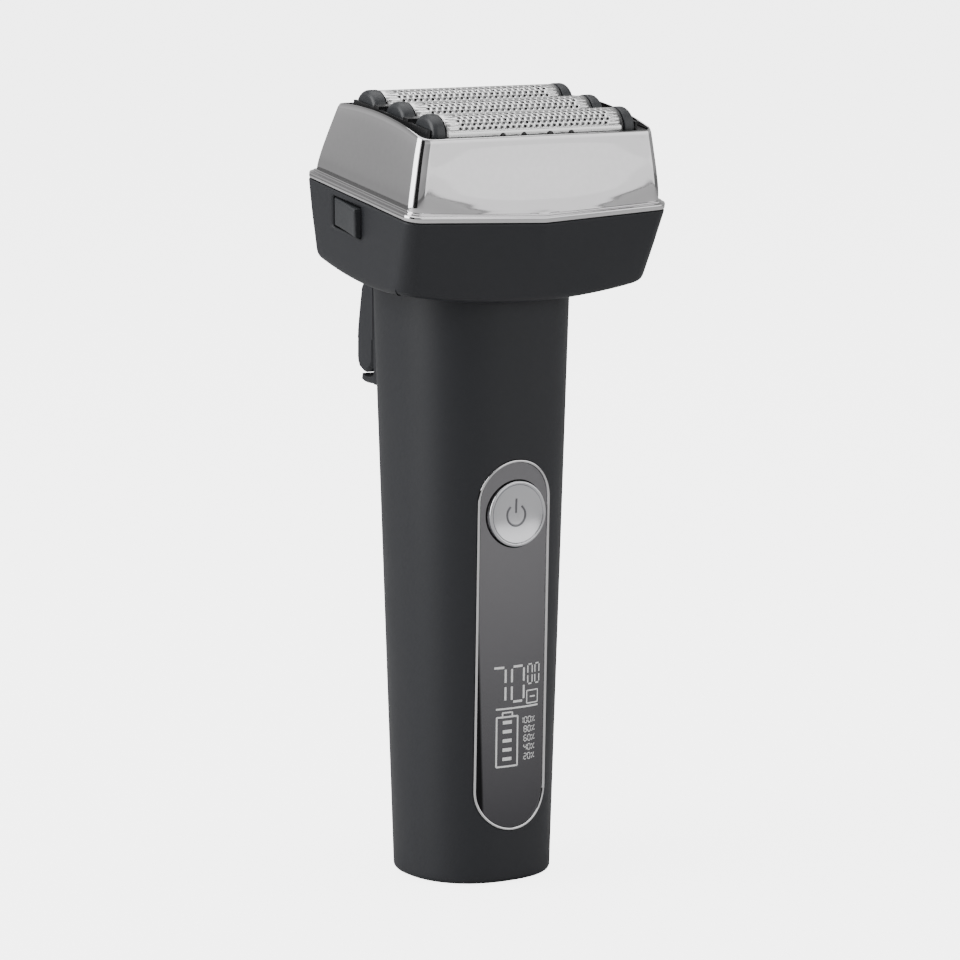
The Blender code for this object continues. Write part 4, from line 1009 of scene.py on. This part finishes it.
def wedge_patches(side):
    """The outer face stands at rear plus what is left of (front - rear) at (1 - y_share) to the power 1.5, and
    drops half a millimetre round its edges. Walls run from it back to BUTTON_BACK, where a flat closes it."""
    share = 0.5 - 0.5 * np.cos(np.linspace(0, math.pi, 33))
    y_share, z_share = np.meshgrid(share, share, indexing="ij")
    y = BUTTON_Y[0] + (BUTTON_Y[1] - BUTTON_Y[0]) * y_share
    z = BUTTON_RISE[0] + (BUTTON_RISE[1] - BUTTON_RISE[0]) * z_share
    rear = 29.85 + 0.6 * z_share
    front = 31.25 + 0.8 * z_share
    crown = rear + (front - rear) * (1 - y_share) ** 1.5
    edge = np.minimum(eased(y_share, 0.06), eased(z_share, 0.1))
    x = side * (crown - 0.5 * (1 - edge))
    top = np.stack([x, y, z], axis=-1)
    loop = np.concatenate([top[0, :-1], top[:-1, -1], top[-1, :0:-1], top[:0:-1, 0]])
    foot = loop.copy()
    foot[:, 0] = side * BUTTON_BACK
    middle = foot.mean(axis=0)
    back = np.stack([foot, middle + (foot - middle) * 0.02])
    return [head_patch(top), head_patch(np.stack([loop, foot]), close_columns=True),
            head_patch(back, close_columns=True)]


for side, place in ((-1, "left"), (1, "right")):
    release = build("release_button_" + place + "_skin", wedge_patches(side), DARK_PLASTIC, 40.0)
    install(release, "release_" + place, "dark_plastic", "release_button_" + place)

# %% [markdown]
# ## Trimmer housing
# The trimmer's back is one soft-edged cover over a pocket for the blades, with slots for the hinge lugs.
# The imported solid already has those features, so the cover is a copy of it: its flat faces are rejoined
# and its sharp edges bevelled, as a mould would round them. The cradle and the foil holder are alike.


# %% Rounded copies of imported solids
SHARP_ANGLE = 28.0


def softened(name, node, width, material):
    """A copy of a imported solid, its flat faces rejoined and its sharp edges rounded."""
    mesh = NODES[node].data.copy()
    mesh.name = name
    work = bmesh.new()
    work.from_mesh(mesh)
    bmesh.ops.remove_doubles(work, verts=work.verts, dist=0.002 * MM)
    bmesh.ops.dissolve_limit(work, angle_limit=math.radians(1.0), verts=work.verts, edges=work.edges)
    work.to_mesh(mesh)
    work.free()
    mesh.materials.clear()
    mesh.materials.append(material)
    mesh.shade_smooth()
    piece = bpy.data.objects.new(name, mesh)
    bpy.context.scene.collection.objects.link(piece)
    piece.matrix_world = NODES[node].matrix_world
    modifier = piece.modifiers.new("Edges", "BEVEL")
    modifier.width = width * MM
    modifier.segments = 3
    modifier.limit_method = "ANGLE"
    modifier.angle_limit = math.radians(SHARP_ANGLE)
    modifier.harden_normals = True
    return piece


SOFTENED = (
    ("trimmer_housing", "trimmer", 0.5, SOFT_TOUCH, "soft_touch_charcoal"),
    ("trimmer_cradle", "handle", 0.25, SOFT_TOUCH, "soft_touch_charcoal"),
    ("foil_holder", "foil_frame", 0.14, BLACK_PLASTIC, "black_plastic"),
)
for node, body, width, material, slot in SOFTENED:
    install(softened(node + "_skin", node, width, material), body, slot, node)

# %% [markdown]
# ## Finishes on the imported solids
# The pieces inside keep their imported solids, whose flat faces suit machined and moulded parts, and each
# takes one of the finishes above.

# %% Finishes for the pieces that stay
KEPT = {
    "soft_touch_charcoal": SOFT_TOUCH, "dark_plastic": DARK_PLASTIC, "black_plastic": BLACK_PLASTIC,
    "white_plastic": ACETAL, "chrome": CHROME, "satin_metal": SATIN, "smoked_panel": PANEL,
    "foil_steel": FOIL_STEEL, "steel": STEEL, "copper_winding": COPPER, "magnet": MAGNET,
    "brass": BRASS, "circuit_board": BOARD, "cell_wrap": CELL_WRAP,
}
for entry in frame["record"]["subparts"]:
    slots = NODES[entry["node"]].data.materials
    slots.clear()
    slots.append(KEPT[entry["material_slot"]])

# %% [markdown]
# ## Floor
# The shaver stands on a plain pale floor. It glows to the camera, so the picture stays bright, and is a
# little darker in reflections, so that it meets the sky in the chrome with less of a line.


# %% Floor
FLOOR_HALF = 12.0
FLOOR_GLOW = 4.4
FLOOR_SEEN, FLOOR_REFLECTED = (0.62, 0.62, 0.62, 1.0), (0.47, 0.47, 0.47, 1.0)


def make_floor():
    mesh = bpy.data.meshes.new("floor")
    corners = [(x * FLOOR_HALF, y * FLOOR_HALF, 0) for x, y in ((-1, -1), (1, -1), (1, 1), (-1, 1))]
    mesh.from_pydata(corners, [], [(0, 1, 2, 3)])
    floor = bpy.data.objects.new("floor", mesh)
    bpy.context.scene.collection.objects.link(floor)
    material = bpy.data.materials.new("pale_floor")
    material.use_nodes = True
    tree = material.node_tree
    shader = tree.nodes["Principled BSDF"]
    shader.inputs["Roughness"].default_value = 0.9
    shader.inputs["Emission Color"].default_value = (1.0, 1.0, 1.0, 1.0)
    path = tree.nodes.new("ShaderNodeLightPath")
    glow = tree.nodes.new("ShaderNodeMath")
    glow.operation = "MULTIPLY"
    glow.inputs[1].default_value = FLOOR_GLOW
    link(tree, path.outputs["Is Camera Ray"], glow.inputs[0])
    link(tree, glow.outputs["Value"], shader.inputs["Emission Strength"])
    seen = tree.nodes.new("ShaderNodeMix")
    seen.data_type = "RGBA"
    seen.inputs["A"].default_value, seen.inputs["B"].default_value = FLOOR_SEEN, FLOOR_REFLECTED
    link(tree, path.outputs["Is Glossy Ray"], seen.inputs["Factor"])
    link(tree, seen.outputs["Result"], shader.inputs["Base Color"])
    mesh.materials.append(material)


make_floor()

# %% [markdown]
# ## Lights and surroundings
# A soft light stands to the left, a wide weaker one to the front right, and one overhead. Chrome shows
# its surroundings, so the world is a gradient, darker above, and a black card stands left of the camera,
# where its reflection draws a dark line down the frame's front corner.


# %% Lights and world
LIGHT_TARGET = (0.0, 0.0, 0.1)
SKY_SEEN = (5.0, 5.0, 5.0, 1.0)
SKY_STOPS = ((0.45, 0.40), (0.52, 0.36), (0.62, 0.60), (0.75, 0.40), (0.92, 0.16))


def soft_light(name, place, width, height, power):
    data = bpy.data.lights.new(name, "AREA")
    data.shape = "RECTANGLE"
    data.size, data.size_y = width, height
    data.energy = power
    aim(bpy.data.objects.new(name, data), place, LIGHT_TARGET)


soft_light("key_left", (-1.2, 0.25, 0.60), 1.0, 1.2, 19.0)
soft_light("front_right", (0.95, -1.35, 0.72), 2.2, 1.5, 12.0)
soft_light("overhead", (0.0, 0.1, 1.3), 1.6, 1.4, 16.0)


def make_flag(name, place, width, height):
    """A black card that stands on the floor and faces the shaver, for a dark line in the chrome."""
    mesh = bpy.data.meshes.new(name)
    half = width / 2
    corners = [(-half, 0, 0), (half, 0, 0), (half, 0, height), (-half, 0, height)]
    mesh.from_pydata(corners, [], [(0, 1, 2, 3)])
    card = bpy.data.objects.new(name, mesh)
    card.location = (*place, 0.0)
    card.rotation_euler[2] = math.atan2(place[1], place[0]) + math.pi / 2
    bpy.context.scene.collection.objects.link(card)
    black = bpy.data.materials.new(name)
    black.use_nodes = True
    shader = black.node_tree.nodes["Principled BSDF"]
    shader.inputs["Base Color"].default_value = (0.005, 0.005, 0.005, 1.0)
    shader.inputs["Roughness"].default_value = 1.0
    mesh.materials.append(black)


make_flag("flag_left", (-0.98, -0.60), 0.55, 0.9)


def make_world():
    """Grey by height: SKY_STOPS are (place, grey), where place goes from nought straight down to one straight
    up. The camera itself sees SKY_SEEN."""
    world = bpy.data.worlds.new("studio")
    world.use_nodes = True
    tree = world.node_tree
    place = tree.nodes.new("ShaderNodeTexCoord")
    split = tree.nodes.new("ShaderNodeSeparateXYZ")
    ramp = tree.nodes.new("ShaderNodeValToRGB")
    spread = tree.nodes.new("ShaderNodeMapRange")
    path = tree.nodes.new("ShaderNodeLightPath")
    mix = tree.nodes.new("ShaderNodeMix")
    mix.data_type = "RGBA"
    spread.inputs["From Min"].default_value = -1.0
    elements = ramp.color_ramp.elements
    elements[0].position, elements[1].position = SKY_STOPS[0][0], SKY_STOPS[-1][0]
    for position, _ in SKY_STOPS[1:-1]:
        elements.new(position)
    for element, (_, value) in zip(elements, SKY_STOPS):
        element.color = (value, value, value, 1.0)
    link(tree, place.outputs["Generated"], split.inputs["Vector"])
    link(tree, split.outputs["Z"], spread.inputs["Value"])
    link(tree, spread.outputs["Result"], ramp.inputs["Fac"])
    link(tree, path.outputs["Is Camera Ray"], mix.inputs["Factor"])
    link(tree, ramp.outputs["Color"], mix.inputs["A"])
    mix.inputs["B"].default_value = SKY_SEEN
    link(tree, mix.outputs["Result"], tree.nodes["Background"].inputs["Color"])
    tree.nodes["Background"].inputs["Strength"].default_value = 1.0
    bpy.context.scene.world = world


make_world()
